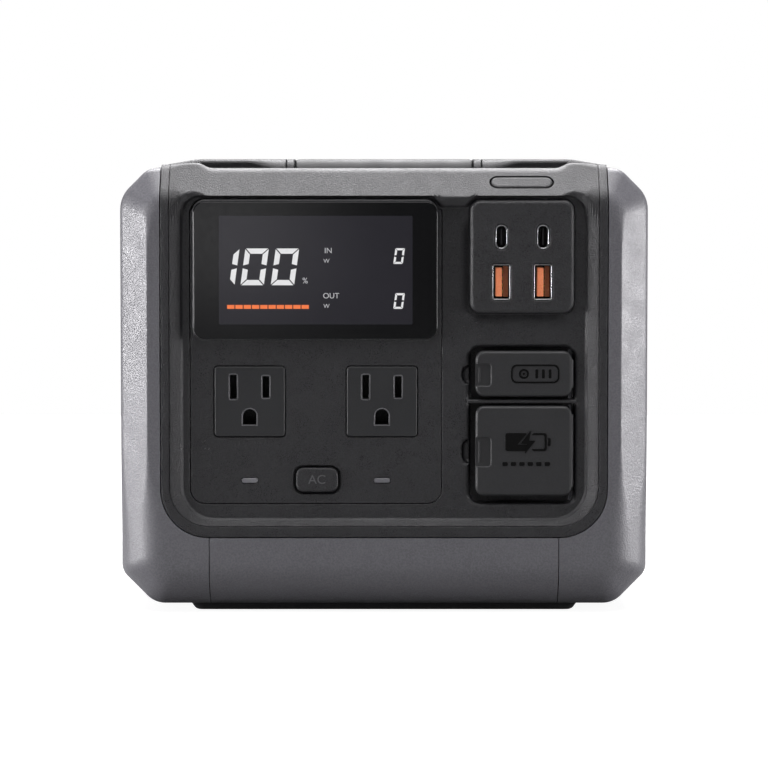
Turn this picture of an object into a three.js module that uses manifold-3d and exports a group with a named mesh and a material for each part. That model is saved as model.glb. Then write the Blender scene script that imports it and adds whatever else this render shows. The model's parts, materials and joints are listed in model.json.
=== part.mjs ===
// Portable power station: two grey side covers round a dark chassis, a recessed control
// face with display, outlets, sockets and flap-covered ports, a carrying handle across the
// top, rear fans, a battery of eight prismatic cells and the electronics above it.
// Millimetres. +X is the user's right, the control face looks along -Y, +Z is up, and the
// origin lies on the ground under the middle of the body.

import * as THREE from 'three';
import { mergeVertices } from 'three/addons/utils/BufferGeometryUtils.js';
import Module from 'manifold-3d';

const wasm = await Module();
wasm.setup();

// ---- driving dimensions ---------------------------------------------------------------
const WIDTH = 207;
const DEPTH = 305;
const HEIGHT = 177;            // top of the handle grip
const FEET = 4.6;              // ground to the underside of the body
const DECK = 174.7;            // ground to the top deck, in line with the side covers
const TROUGH = 173;            // the middle of the deck, sunk between two rails
const EDGE = 11;               // 45 degree band round the front and the back
const TOP_CHAMFER = 11.2;      // 45 degree corner along the top of each side
const BOTTOM_CHAMFER = 12.9;   // the same along the bottom
const WALL = 2.5;              // moulded wall thickness
const GAP = 0.3;               // clearance between neighbouring pieces

const FRONT = -DEPTH / 2;
const BACK = DEPTH / 2;
const SLOPE_START = DECK - EDGE;    // height where the front face starts to lean back

const FRAME_HALF = 87.5;       // outer half width of the trim frame round the control face
const FRAME_BOTTOM = 30.3;
const FRAME_RADIUS = 19;
const FRAME_WIDTH = 3.5;
const FRAME_DEPTH = 14;
const BEZEL_TOP = DECK - 2.1;
const SKIRT_HALF = 68.5;       // half width of the lower front and rear skirts
const SKIRT_REACH = 127.7;     // how far under the body the tray reaches from the middle

const RECESS = 3.2;            // depth of the control face's floor behind its rim
const PLATE_BACK = 5.9;        // back of the inserts, behind the front plane
const BLOCK_FRONT = 0.2;       // front of the raised blocks, behind the front plane

const OUTLETS = { left: -52.5, right: -0.8 };
const OUTLET_Z = 83.7;
const OUTLET_SIZE = 27.4;
const BLADE_HALF_PITCH = 6.35;
const AC_BUTTON = { x: -26.2, z: 53, width: 15.7, height: 9, radius: 2.8, travel: 1.2 };
const LIGHT_PIPE = { z: 52.7, width: 6.2, height: 1.9 };
const POWER_BUTTON = { x: 53.7, up: 5.6, width: 24.4, height: 6, thickness: 4 };
const USB_X = { left: 45.7, right: 61.9 };
const USB_C_Z = 148.1;
const USB_A_Z = 130.5;
const USB_BODY_END = 12.5;

const POCKET = { x0: 33.3, x1: 74.5, z0: 43.7, z1: 105.2, depth: 11, floor: 2 };
const BRIDGE = { z0: 83, z1: 84.5 };
const FLAP = { x0: 35.7, x1: 72.4, front: 1.2, back: 4.2, bung: 7.9 };
const FLAP_HINGE = { x: 72.6, depth: 2.9, barrel: 1.5, hole: 0.95, pin: 0.6 };
const DC_FLAP = { z0: 85.7, z1: 103.6, tab0: 89.8, tab1: 98.6, radius: 3.5 };
const CHARGE_FLAP = { z0: 46.8, z1: 82.1, tab0: 58.3, tab1: 69.8, radius: 3.5 };
const PORT_X = 54;
const PORT_FLANGE = { front: 8.6, back: 10.7 };
const PORT_BODY_END = 26;

const RAIL = { outer: 83, crestOuter: 75, crestInner: 72, inner: 66, taper: 12 };
const WELL = { halfX: 66, halfY: 52, floor: 129, floorHalfX: 56, floorHalfY: 40, radius: 14 };
const HANDLE = { halfY: 16.5, underside: 155.5, archX: 54, neckX: 63.6, rootX: 65.4, topX: 71.4 };
const CORE = { halfX: 42.5, halfY: 12.5, z0: 159, z1: 173.5 };
const GRIP_HALF = 37.5;
const COLLAR_WIDTH = 4;

const FAN = { x: 37, z: 98, size: 60, depth: 15, bore: 28.5, rotor: 27.4, hub: 11, y: 133.5 };
const CELL = { count: 8, width: 130, thickness: 27, height: 70, pitch: 27.4, z0: 10.5 };
const SCREW = { x: 78, y: 85, head: 3.9, shank: 1.5, length: 14 };

const TURN = Math.PI * 2;

// ---- materials ------------------------------------------------------------------------
const FINISH = {
  coverGrey: [0x56575b, 0.55, 0.1], chassisBlack: [0x2c2d2f, 0.6, 0], panelBlack: [0x252628, 0.6, 0],
  rubberBlack: [0x1d1e20, 0.8, 0], glossBlack: [0x08090b, 0.08, 0], socketBlack: [0x151617, 0.5, 0],
  lightPipe: [0x77797c, 0.35, 0], usbOrange: [0xd85e22, 0.5, 0], steel: [0xb8babd, 0.3, 1],
  cellBlue: [0x2f5f94, 0.4, 0.2], boardGreen: [0x1f5b3a, 0.55, 0], aluminium: [0xb4b6b8, 0.4, 1],
  copperWinding: [0x9c5a2e, 0.4, 0.8], carrierWhite: [0xd9dad6, 0.6, 0],
};

function materialOf(finish) {
  const [color, roughness, metalness] = FINISH[finish];
  return new THREE.MeshStandardMaterial({ color, roughness, metalness });
}

// ---- solids ---------------------------------------------------------------------------
function solidOf(geometry) {
  geometry.deleteAttribute('normal');
  geometry.deleteAttribute('uv');
  const merged = mergeVertices(geometry, 1e-4);
  return new wasm.Manifold(new wasm.Mesh({
    numProp: 3,
    vertProperties: new Float32Array(merged.attributes.position.array),
    triVerts: new Uint32Array(merged.index.array),
  }));
}

function geometryOf(solid) {
  const mesh = solid.getMesh();
  const geometry = new THREE.BufferGeometry();
  geometry.setAttribute('position', new THREE.BufferAttribute(mesh.vertProperties, 3));
  geometry.setIndex(new THREE.BufferAttribute(mesh.triVerts, 1));
  return geometry;
}

const join = (...solids) => solids.reduce((sum, next) => sum.add(next));
const cut = (solid, ...tools) => tools.reduce((rest, tool) => rest.subtract(tool), solid);

function box(x0, x1, y0, y1, z0, z1) {
  const geometry = new THREE.BoxGeometry(x1 - x0, y1 - y0, z1 - z0);
  return solidOf(geometry.translate((x0 + x1) / 2, (y0 + y1) / 2, (z0 + z1) / 2));
}

// A rectangle with rounded corners; the upper corners may have a radius of their own.
function panelShape(x0, x1, z0, z1, radius, upperRadius = radius) {
  const shape = new THREE.Shape();
  shape.moveTo(x0 + radius, z0);
  shape.lineTo(x1 - radius, z0);
  shape.absarc(x1 - radius, z0 + radius, radius, -Math.PI / 2, 0);
  shape.lineTo(x1, z1 - upperRadius);
  shape.absarc(x1 - upperRadius, z1 - upperRadius, upperRadius, 0, Math.PI / 2);
  shape.lineTo(x0 + upperRadius, z1);
  shape.absarc(x0 + upperRadius, z1 - upperRadius, upperRadius, Math.PI / 2, Math.PI);
  shape.lineTo(x0, z0 + radius);
  shape.absarc(x0 + radius, z0 + radius, radius, Math.PI, Math.PI * 1.5);
  return shape;
}

const centredShape = (x, z, width, height, radius) => panelShape(
  x - width / 2, x + width / 2, z - height / 2, z + height / 2, radius);

// Extrusions of a shape: across the depth (shape is x, z), across the width (shape is y, z).
function alongY(shape, y0, y1, curveSegments = 3) {
  const geometry = new THREE.ExtrudeGeometry(shape, { depth: y1 - y0, bevelEnabled: false, curveSegments });
  return solidOf(geometry.rotateX(Math.PI / 2).translate(0, y1, 0));
}

function alongX(shape, x0, x1, curveSegments = 3) {
  const geometry = new THREE.ExtrudeGeometry(shape, { depth: x1 - x0, bevelEnabled: false, curveSegments });
  const basis = new THREE.Matrix4().makeBasis(
    new THREE.Vector3(0, 1, 0), new THREE.Vector3(0, 0, 1), new THREE.Vector3(1, 0, 0));
  return solidOf(geometry.applyMatrix4(basis).translate(x0, 0, 0));
}

function polygonShape(points) {
  return new THREE.Shape(points.map(([x, z]) => new THREE.Vector2(x, z)));
}

function postY(x, z, radius, y0, y1, sides = 20) {
  const geometry = new THREE.CylinderGeometry(radius, radius, y1 - y0, sides);
  return solidOf(geometry.translate(x, (y0 + y1) / 2, z));
}

function postZ(x, y, radius, z0, z1, sides = 16) {
  const geometry = new THREE.CylinderGeometry(radius, radius, z1 - z0, sides).rotateX(Math.PI / 2);
  return solidOf(geometry.translate(x, y, (z0 + z1) / 2));
}

// A closed skin over rings of equal length; rings run in the direction that their
// counter-clockwise order points to.
function loft(rings) {
  const sides = rings[0].length;
  const positions = rings.flat().flatMap((point) => point.toArray());
  const index = [];
  for (let ring = 0; ring + 1 < rings.length; ring += 1) {
    for (let side = 0; side < sides; side += 1) {
      const a = ring * sides + side;
      const b = ring * sides + ((side + 1) % sides);
      index.push(a, b, b + sides, a, b + sides, a + sides);
    }
  }
  const last = (rings.length - 1) * sides;
  for (let side = 1; side + 1 < sides; side += 1) {
    index.push(0, side + 1, side, last, last + side, last + side + 1);
  }
  const geometry = new THREE.BufferGeometry();
  geometry.setAttribute('position', new THREE.Float32BufferAttribute(positions, 3));
  geometry.setIndex(index);
  return solidOf(geometry);
}

// ---- the outer form -------------------------------------------------------------------
// Corners of the body seen from the front, anticlockwise: [x, z, radius].
function bodyCorners() {
  const half = WIDTH / 2;
  const right = [
    [half - BOTTOM_CHAMFER, FEET, 7], [half, FEET + BOTTOM_CHAMFER, 14],
    [half, DECK - TOP_CHAMFER, 10], [half - TOP_CHAMFER, DECK, 8],
  ];
  const left = right.map(([x, z, radius]) => [-x, z, radius]).reverse();
  return [...right, ...left];
}

// The body's outline moved inwards by inset, each corner rounded with a short arc.
function bodyOutline(inset, steps = 3) {
  const corners = bodyCorners();
  const count = corners.length;
  const inward = corners.map(([x, z], i) => {
    const [nextX, nextZ] = corners[(i + 1) % count];
    return new THREE.Vector2(z - nextZ, nextX - x).normalize();
  });
  return corners.flatMap(([x, z, radius], i) => {
    const before = inward[(i + count - 1) % count];
    const after = inward[i];
    const arcRadius = Math.max(radius - inset, 0.6);
    const reach = (inset + arcRadius) / (1 + before.dot(after));
    const centre = new THREE.Vector2(x, z).addScaledVector(before, reach).addScaledVector(after, reach);
    const turn = Math.acos(Math.min(1, before.dot(after)));
    return Array.from({ length: steps + 1 }, (_, step) => {
      const normal = before.clone().rotateAround(new THREE.Vector2(), (turn * step) / steps);
      return centre.clone().addScaledVector(normal, -arcRadius);
    });
  });
}

// The whole body as one solid, its surface moved inwards by inset.
function bodyForm(inset) {
  const shift = inset * (Math.SQRT2 - 1);
  const ring = (y, ringInset) => bodyOutline(ringInset).map((point) => new THREE.Vector3(point.x, y, point.y));
  return loft([
    ring(BACK - inset, EDGE + shift), ring(BACK - EDGE - shift, inset),
    ring(FRONT + EDGE + shift, inset), ring(FRONT + inset, EDGE + shift),
  ]);
}

const BODY = bodyForm(0);
const SKIN = cut(BODY, bodyForm(WALL));
const BEYOND = 20;             // how far cutting tools reach past the body

function frameShape(inset) {
  const half = FRAME_HALF - inset;
  return panelShape(-half, half, FRAME_BOTTOM + inset, DECK + BEYOND, FRAME_RADIUS - inset, 1);
}

// ---- housing --------------------------------------------------------------------------
function ventSlots(side) {
  const slots = [];
  for (let i = 0; i < 11; i += 1) {
    const y = 14 + i * 9;
    const x = side * WIDTH / 2;
    slots.push(box(x - 6, x + 6, y, y + 3.4, 32, 64));
  }
  return join(...slots);
}

function screwBoss(side, end) {
  return cut(
    postZ(side * SCREW.x, end * SCREW.y, 6, FEET + 0.1, 23),
    postZ(side * SCREW.x, end * SCREW.y, SCREW.shank + 0.4, FEET, 21.5, 12),
    postZ(side * SCREW.x, end * SCREW.y, SCREW.head + 0.4, FEET - 1, FEET + 2.6),
  );
}

function sideCover(side) {
  const outer = side * (WIDTH / 2 + BEYOND);
  const inner = side * SKIRT_HALF;
  const half = box(Math.min(outer, inner), Math.max(outer, inner), FRONT - 1, BACK + 1, -1, HEIGHT);
  let cover = cut(SKIN.intersect(half), alongY(frameShape(0), FRONT - 1, BACK + 1, 4), ventSlots(side));
  for (const end of [-1, 1]) {
    const drill = postZ(side * SCREW.x, end * SCREW.y, 5.5, FEET - 1, FEET + WALL + 0.5);
    cover = join(cut(cover, drill), screwBoss(side, end));
  }
  return cover;
}

function frontFrame() {
  const outer = alongY(frameShape(GAP), FRONT - 1, FRONT + FRAME_DEPTH, 4);
  const inner = alongY(
    panelShape(-FRAME_HALF + FRAME_WIDTH, FRAME_HALF - FRAME_WIDTH, FRAME_BOTTOM + 4.4, BEZEL_TOP, 15.5, 13),
    FRONT - 2, FRONT + FRAME_DEPTH + 1, 4);
  return cut(BODY.intersect(outer), inner);
}

function skirt(end) {
  const near = end * (SKIRT_REACH + GAP);
  const far = end * (BACK + 1);
  return SKIN.intersect(box(-SKIRT_HALF + GAP, SKIRT_HALF - GAP,
    Math.min(near, far), Math.max(near, far), -1, FRAME_BOTTOM));
}

function bottomTray() {
  const half = SKIRT_HALF - GAP;
  const tray = box(-half, half, -SKIRT_REACH, SKIRT_REACH, FEET, FEET + WALL);
  const slots = [];
  for (let i = 0; i < 6; i += 1) {
    const y = -30 + i * 12;
    slots.push(box(-22, 22, y, y + 4, FEET - 1, FEET + WALL + 1));
  }
  return cut(tray, ...slots);
}

// The hand well: a tapering bowl, open at the top, grown outwards by extra.
function wellSolid(extra, top) {
  const ring = (halfX, halfY, z) => panelShape(
    -halfX - extra, halfX + extra, -halfY - extra, halfY + extra, WELL.radius)
    .extractPoints(4).shape.map((point) => new THREE.Vector3(point.x, point.y, z));
  return loft([
    ring(WELL.floorHalfX, WELL.floorHalfY, WELL.floor - extra),
    ring(WELL.halfX, WELL.halfY, TROUGH - 0.5), ring(WELL.halfX, WELL.halfY, top),
  ]);
}

// The deck between the side covers: a sunk middle with a low rail down each side, both
// fading out towards the front and the back.
function topShell() {
  const half = FRAME_HALF - GAP;
  const reach = BACK - FRAME_DEPTH - GAP;
  const ring = (y, share) => {
    const crest = DECK + (HEIGHT - DECK) * share;
    const middle = DECK + (TROUGH - DECK) * share;
    const rail = [[RAIL.outer, DECK], [RAIL.crestOuter, crest], [RAIL.crestInner, crest], [RAIL.inner, middle]];
    const mirrored = rail.map(([x, z]) => [-x, z]).reverse();
    const outline = [[-half, DECK - 5], [half, DECK - 5], [half, DECK], ...rail, ...mirrored, [-half, DECK]];
    return outline.map(([x, z]) => new THREE.Vector3(x, y, z));
  };
  const deck = loft([ring(reach, 0), ring(reach - RAIL.taper, 1), ring(RAIL.taper - reach, 1), ring(-reach, 0)]);
  return cut(join(deck, wellSolid(WALL, TROUGH - 0.2)), wellSolid(0, HEIGHT + 1));
}

function rearPanel() {
  const plate = SKIN.intersect(alongY(frameShape(GAP), -FRONT - FRAME_DEPTH, BACK + 1, 4));
  const slots = [];
  for (const side of [-1, 1]) {
    for (let row = -4; row <= 4; row += 1) {
      const offset = row * 6;
      const half = Math.sqrt(29 ** 2 - offset ** 2);
      const shape = centredShape(side * FAN.x, FAN.z + offset, half * 2, 3.4, 1.6);
      slots.push(alongY(shape, BACK - 10, BACK + 1, 2));
    }
  }
  return cut(plate, ...slots);
}

function foot(end) {
  const near = end * 129;
  const far = end * 106;
  const outline = polygonShape([[-74.5, 0], [74.5, 0], [77.6, FEET - GAP], [-77.6, FEET - GAP]]);
  return alongY(outline, Math.min(near, far), Math.max(near, far));
}

function baseScrew(side, end) {
  const x = side * SCREW.x;
  const y = end * SCREW.y;
  const headTop = FEET + 2.2;
  const cross = join(box(x - 2.2, x + 2.2, y - 0.5, y + 0.5, 0, FEET + 1.4),
    box(x - 0.5, x + 0.5, y - 2.2, y + 2.2, 0, FEET + 1.4));
  return cut(join(postZ(x, y, SCREW.head, FEET + 0.3, headTop),
    postZ(x, y, SCREW.shank, headTop - 0.5, headTop + SCREW.length, 12)), cross);
}

// ---- control face ---------------------------------------------------------------------
// Turns a solid made flat against the front plane onto the leaning band above it.
function leanBack(solid, up) {
  return solid.translate([0, -FRONT, 0]).rotate([-45, 0, 0]).translate([0, FRONT + up, SLOPE_START + up]);
}

function powerButtonForm(grow, front, back) {
  const shape = centredShape(POWER_BUTTON.x, 0, POWER_BUTTON.width + grow * 2, POWER_BUTTON.height + grow * 2,
    (POWER_BUTTON.height + grow * 2) / 2 - 0.01);
  return leanBack(alongY(shape, FRONT + front, FRONT + back, 5), POWER_BUTTON.up);
}

function fingerScoop(flap) {
  const middle = (flap.tab0 + flap.tab1) / 2;
  const height = (flap.tab1 - flap.tab0) * 0.75;
  const shape = panelShape(28.6, POCKET.x0 + 1, middle - height / 2, middle + height / 2, 2.4);
  return alongY(shape, FRONT + 2, FRONT + 5);
}

function frontBezel() {
  const edge = FRAME_HALF - FRAME_WIDTH - GAP;
  const outer = panelShape(-edge, edge, FRAME_BOTTOM + 4.4 + GAP, BEZEL_TOP - GAP, 15.2, 12.7);
  const blank = BODY.intersect(alongY(outer, FRONT - 1, FRONT + 12, 4));
  const cavity = alongY(panelShape(-80.2, 80.2, 41, 167, 12), FRONT + 6, FRONT + 13);
  const floorCut = alongY(panelShape(-76.2, 76.2, 39, 162.9, 10), FRONT - 1, FRONT + RECESS, 4);
  const hollow = cut(blank, cavity, floorCut);
  const pocketBox = box(31, 76.8, FRONT + RECESS, FRONT + POCKET.depth + POCKET.floor, 41.4, 107.5);
  const pocket = alongY(panelShape(POCKET.x0, POCKET.x1, POCKET.z0, POCKET.z1, 4),
    FRONT - 1, FRONT + POCKET.depth);
  const bridge = box(POCKET.x0 - 1, POCKET.x1 + 1, FRONT + 2.6, FRONT + POCKET.depth + 1,
    BRIDGE.z0, BRIDGE.z1);
  return cut(
    join(cut(join(hollow, pocketBox), pocket), bridge),
    alongY(panelShape(-75.9, 22.7, 43.4, 162.9, 6, 5), FRONT - 1, FRONT + 12),
    alongY(panelShape(33.1, 74.5, 117.8, 162.9, 4.8), FRONT - 1, FRONT + 12),
    alongY(centredShape(PORT_X, 94.6, 24.6, 11.2, 2), FRONT + 5, FRONT + 20),
    alongY(centredShape(PORT_X, 63.6, 27.2, 20.2, 2), FRONT + 5, FRONT + 20),
    fingerScoop(DC_FLAP), fingerScoop(CHARGE_FLAP),
    powerButtonForm(0.35, -3, 14),
  );
}

function mainPanel() {
  const plate = alongY(panelShape(-75.6, 22.4, 43.7, 162.6, 5.7), FRONT + RECESS, FRONT + PLATE_BACK);
  const block = alongY(panelShape(-75.2, 21, 107.6, 162.6, 5), FRONT + BLOCK_FRONT, FRONT + PLATE_BACK);
  const tools = [
    alongY(panelShape(-74, 20.6, 108.5, 161.5, 4.2), FRONT - 1, FRONT + 2.2),
    alongY(panelShape(-67, 14, 112, 158.5, 1), FRONT - 1, FRONT + 8),
    alongY(centredShape(AC_BUTTON.x, AC_BUTTON.z, AC_BUTTON.width + 0.8, AC_BUTTON.height + 0.8,
      AC_BUTTON.radius + 0.4), FRONT - 1, FRONT + 8),
  ];
  for (const x of Object.values(OUTLETS)) {
    tools.push(alongY(centredShape(x, OUTLET_Z, OUTLET_SIZE + 0.6, OUTLET_SIZE + 0.6, 1.6), FRONT, FRONT + 8));
    tools.push(alongY(centredShape(x, LIGHT_PIPE.z, LIGHT_PIPE.width + 0.6, LIGHT_PIPE.height + 0.6, 1.2),
      FRONT, FRONT + 8));
  }
  return cut(join(plate, block), ...tools);
}

const lcdLens = () => alongY(panelShape(-73.7, 20.3, 108.8, 161.2, 4), FRONT + 0.1, FRONT + 1.9);

const lcdModule = () => alongY(panelShape(-66.6, 13.6, 112.4, 158.1, 0.8), FRONT + 2.3, FRONT + 7.5, 2);

function outlet(x) {
  const body = alongY(centredShape(x, OUTLET_Z, OUTLET_SIZE, OUTLET_SIZE, 1.3), FRONT + 2.9, FRONT + 24);
  const slotEnd = FRONT + 17;
  const slot = (offset, height) => box(x + offset - 1.3, x + offset + 1.3, FRONT, slotEnd,
    OUTLET_Z + 6 - height / 2, OUTLET_Z + 6 + height / 2);
  const ground = new THREE.Shape();
  ground.moveTo(x - 2.6, OUTLET_Z - 9);
  ground.lineTo(x + 2.6, OUTLET_Z - 9);
  ground.lineTo(x + 2.6, OUTLET_Z - 5.6);
  ground.absarc(x, OUTLET_Z - 5.6, 2.6, 0, Math.PI);
  return cut(body, slot(-BLADE_HALF_PITCH, 9.4), slot(BLADE_HALF_PITCH, 8), alongY(ground, FRONT, slotEnd, 6));
}

function acButton() {
  const { x, z, width, height, radius } = AC_BUTTON;
  return join(alongY(centredShape(x, z, width, height, radius), FRONT + 2, FRONT + 7, 4),
    alongY(centredShape(x, z, width + 3, height + 3, radius), FRONT + 6.4, FRONT + 7.6, 4));
}

const powerButton = () => powerButtonForm(0, -0.2, POWER_BUTTON.thickness);

const lightPipe = (x) => alongY(
  centredShape(x, LIGHT_PIPE.z, LIGHT_PIPE.width, LIGHT_PIPE.height, 0.9), FRONT + 3, FRONT + 10);

function usbPanel() {
  const tools = [];
  for (const x of Object.values(USB_X)) {
    tools.push(alongY(centredShape(x, USB_C_Z, 5.6, 10.3, 2.7), FRONT - 1, FRONT + 8, 4));
    tools.push(alongY(centredShape(x, USB_A_Z, 7.8, 14.6, 1.1), FRONT - 1, FRONT + 8, 2));
  }
  return cut(alongY(panelShape(33.4, 74.2, 118.1, 162.6, 4.5), FRONT + BLOCK_FRONT, FRONT + PLATE_BACK),
    ...tools);
}

function usbC(x) {
  const shell = cut(alongY(centredShape(x, USB_C_Z, 5, 9.7, 2.4), FRONT + 0.7, FRONT + USB_BODY_END, 4),
    alongY(centredShape(x, USB_C_Z, 2.6, 8.4, 1.2), FRONT, FRONT + 8, 4));
  return join(shell, box(x - 0.35, x + 0.35, FRONT + 2, FRONT + 8.4, USB_C_Z - 3.2, USB_C_Z + 3.2));
}

function usbA(x) {
  const shell = cut(alongY(centredShape(x, USB_A_Z, 7.2, 14, 0.8), FRONT + 0.7, FRONT + USB_BODY_END, 2),
    alongY(centredShape(x, USB_A_Z, 5.3, 12.6, 0.4), FRONT, FRONT + 11, 2));
  return join(shell, box(x - 2.1, x - 0.2, FRONT + 1.6, FRONT + 11.4, USB_A_Z - 5.6, USB_A_Z + 5.6));
}

// A rubber flap over a port: a plate with a sunk pull tab, a bung behind it and a hinge
// barrel down its right edge.
function portFlap(flap) {
  const { x, depth, barrel, hole } = FLAP_HINGE;
  const plate = alongY(panelShape(FLAP.x0, FLAP.x1, flap.z0, flap.z1, flap.radius),
    FRONT + FLAP.front, FRONT + FLAP.back, 4);
  const tab = alongY(panelShape(FLAP.x0 - 1, 41.8, flap.tab0, flap.tab1, 1), FRONT, FRONT + FLAP.front + 0.5, 2);
  const bung = alongY(centredShape(PORT_X, (flap.z0 + flap.z1) / 2, 20, (flap.z1 - flap.z0) * 0.4, 2),
    FRONT + FLAP.back - 0.5, FRONT + FLAP.bung);
  const hinge = postZ(x, FRONT + depth, barrel, flap.z0 + flap.radius, flap.z1 - flap.radius, 14);
  const bore = postZ(x, FRONT + depth, hole, flap.z0 - 1, flap.z1 + 1, 10);
  const corner = box(x - 1, x + 4, FRONT, FRONT + FLAP.back + 1, flap.z0 - 1, flap.z1 + 1);
  return cut(join(cut(plate, tab, corner), bung, hinge), bore);
}

const hingePin = (z0, z1) => postZ(FLAP_HINGE.x, FRONT + FLAP_HINGE.depth, FLAP_HINGE.pin, z0, z1, 10);

// A panel socket: a flange on the pocket's floor, a body through it, a cavity and its pins.
function portSocket(z, flange, body, cavity, pins) {
  const cavityEnd = FRONT + PORT_FLANGE.front + 15;
  const pinStart = FRONT + PORT_FLANGE.front + 4.7;
  const shell = join(
    alongY(centredShape(PORT_X, z, ...flange, 2.5), FRONT + PORT_FLANGE.front, FRONT + PORT_FLANGE.back),
    alongY(centredShape(PORT_X, z, ...body, 1.5), FRONT + PORT_FLANGE.front, FRONT + PORT_BODY_END));
  const hollow = cut(shell, alongY(centredShape(PORT_X, z, ...cavity, 1.5), FRONT, cavityEnd));
  return join(hollow, ...pins.map(([x, up, width, height]) => box(PORT_X + x - width / 2,
    PORT_X + x + width / 2, pinStart, cavityEnd + 0.5, z + up - height / 2, z + up + height / 2)));
}

const dcPort = () => portSocket(94.6, [29, 15], [24, 10.6], [20, 7.2], [[-5, 0, 3.2, 3.2], [5, 0, 3.2, 3.2]]);

const acInlet = () => portSocket(63.6, [32, 25], [26.6, 19.6], [24, 16.4],
  [[0, 2, 2, 4], [-7, -2, 2, 4], [7, -2, 2, 4]]);

// ---- handle ---------------------------------------------------------------------------
function handleArm(side) {
  const { halfY, underside, archX, neckX, rootX, topX } = HANDLE;
  const inner = GRIP_HALF + COLLAR_WIDTH + GAP * 2;
  const seat = TROUGH + 0.35;
  const outline = [
    [inner, underside], [archX, underside], [neckX, TROUGH - 5], [rootX, seat], [RAIL.inner, seat],
    [topX, HEIGHT], [inner, HEIGHT],
  ].map(([x, z]) => [side * x, z]);
  return alongY(polygonShape(side > 0 ? outline : outline.reverse()), -halfY, halfY);
}

function handleBar() {
  const { halfX, halfY, z0, z1 } = CORE;
  return join(handleArm(-1), handleArm(1), box(-halfX, halfX, -halfY, halfY, z0, z1));
}

function gripSleeve(x0, x1, grow) {
  const { halfY, underside } = HANDLE;
  const outer = panelShape(-halfY - grow, halfY + grow, underside - grow, HEIGHT, 8, 6);
  const bore = panelShape(-CORE.halfY - GAP, CORE.halfY + GAP, CORE.z0 - GAP, CORE.z1 + GAP, 0.5);
  return cut(alongX(outer, x0, x1, 5), alongX(bore, x0 - 1, x1 + 1, 1));
}

function gripCollar(side) {
  const near = side * (GRIP_HALF + GAP);
  const far = side * (GRIP_HALF + COLLAR_WIDTH);
  return gripSleeve(Math.min(near, far), Math.max(near, far), -0.6);
}

// ---- cooling --------------------------------------------------------------------------
function fanFrame(side) {
  const { z, size, depth, bore, hub, y } = FAN;
  const x = side * FAN.x;
  const ring = cut(alongY(centredShape(x, z, size, size, 4), y, y + depth),
    postY(x, z, bore, y - 1, y + depth + 1, 32));
  const struts = [0, 1, 2].map((i) => {
    const angle = (TURN * i) / 3 + 0.4;
    const arm = box(hub - 2, bore + 1, -1.5, 1.5, 0, 2).rotate([90, 0, 0]);
    return arm.rotate([0, (angle * 360) / TURN, 0]).translate([x, y + 2, z]);
  });
  return join(ring, postY(x, z, hub, y, y + 2, 20), ...struts);
}

function fanRotor(side) {
  const { z, rotor, hub, y } = FAN;
  const x = side * FAN.x;
  const blades = Array.from({ length: 7 }, (_, i) => {
    const blade = box(hub - 2, rotor, -0.6, 0.6, -5.2, 5.2).rotate([55, 0, 0]);
    return blade.rotate([0, (360 * i) / 7, 0]).translate([x, y + 8.6, z]);
  });
  return join(postY(x, z, hub, y + 2.7, y + 13.5, 20), ...blades);
}

// ---- battery and electronics ----------------------------------------------------------
function cell(i) {
  const y = (i - (CELL.count - 1) / 2) * CELL.pitch;
  const top = CELL.z0 + CELL.height;
  const can = box(-CELL.width / 2, CELL.width / 2, y - CELL.thickness / 2, y + CELL.thickness / 2,
    CELL.z0, top);
  return join(can, ...[-1, 1].map((side) => postZ(side * 46, y, 5, top - 1, top + 2.2, 12)));
}

function packCradle() {
  const reach = (CELL.count * CELL.pitch) / 2 + 1.5;
  return cut(box(-67.8, 67.8, -reach, reach, 7.6, 34), box(-65.4, 65.4, -reach + 1.2, reach - 1.2, 10.1, 40),
    box(-50, 50, -reach - 1, reach + 1, 16, 40));
}

function busbarCarrier() {
  const reach = (CELL.count * CELL.pitch) / 2 - 2;
  const z = CELL.z0 + CELL.height + 2.6;
  const links = [];
  for (let i = 0; i + 1 < CELL.count; i += 1) {
    const y = (i + 1 - CELL.count / 2) * CELL.pitch;
    const x = i % 2 === 0 ? -46 : 46;
    links.push(box(x - 8, x + 8, y - 20, y + 20, z + 1.5, z + 3));
  }
  return join(box(-60, 60, -reach, reach, z, z + 2), ...links);
}

function bmsBoard() {
  const chips = [-54, -27, 0, 27, 54].map((y) => box(76, 81, y - 8, y + 8, 38, 54));
  return join(box(75, 76.6, -72, 72, 14, 76), ...chips);
}

function midPlate() {
  const plate = box(-78, 78, -116, 116, 90, 92);
  const windows = [-70, 0, 70].map((y) => box(-40, 40, y - 18, y + 18, 88, 94));
  return cut(plate, ...windows);
}

function inverterBoard() {
  const board = box(-72, 72, -112, 48, 95, 96.6);
  const capacitors = [-60, -44, -28].map((x) => postZ(x, -20, 7, 96, 122, 14));
  const relays = [-90, -66].map((y) => box(44, 64, y - 8, y + 8, 96, 112));
  return join(board, ...capacitors, ...relays, box(-8, 30, -34, 34, 96, 108));
}

function heatSink() {
  const fins = Array.from({ length: 12 }, (_, i) => box(-66 + i * 11.6, -63 + i * 11.6, 60, 112, 97, 122));
  return join(box(-68, 68, 60, 112, 95, 99), ...fins);
}

function transformer() {
  return join(box(-48, -8, -98, -58, 97.2, 124), box(-54, -2, -90, -66, 99, 118));
}

function frontBoard() {
  return join(box(-70, 78, FRONT + 14, FRONT + 15.6, 112, 160), box(-40, -10, FRONT + 12, FRONT + 15, 130, 150));
}

// ---- assembly -------------------------------------------------------------------------
const powerStation = new THREE.Group();

function add(name, solid, finish) {
  const mesh = new THREE.Mesh(geometryOf(solid), materialOf(finish));
  mesh.name = name;
  powerStation.add(mesh);
}

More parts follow.
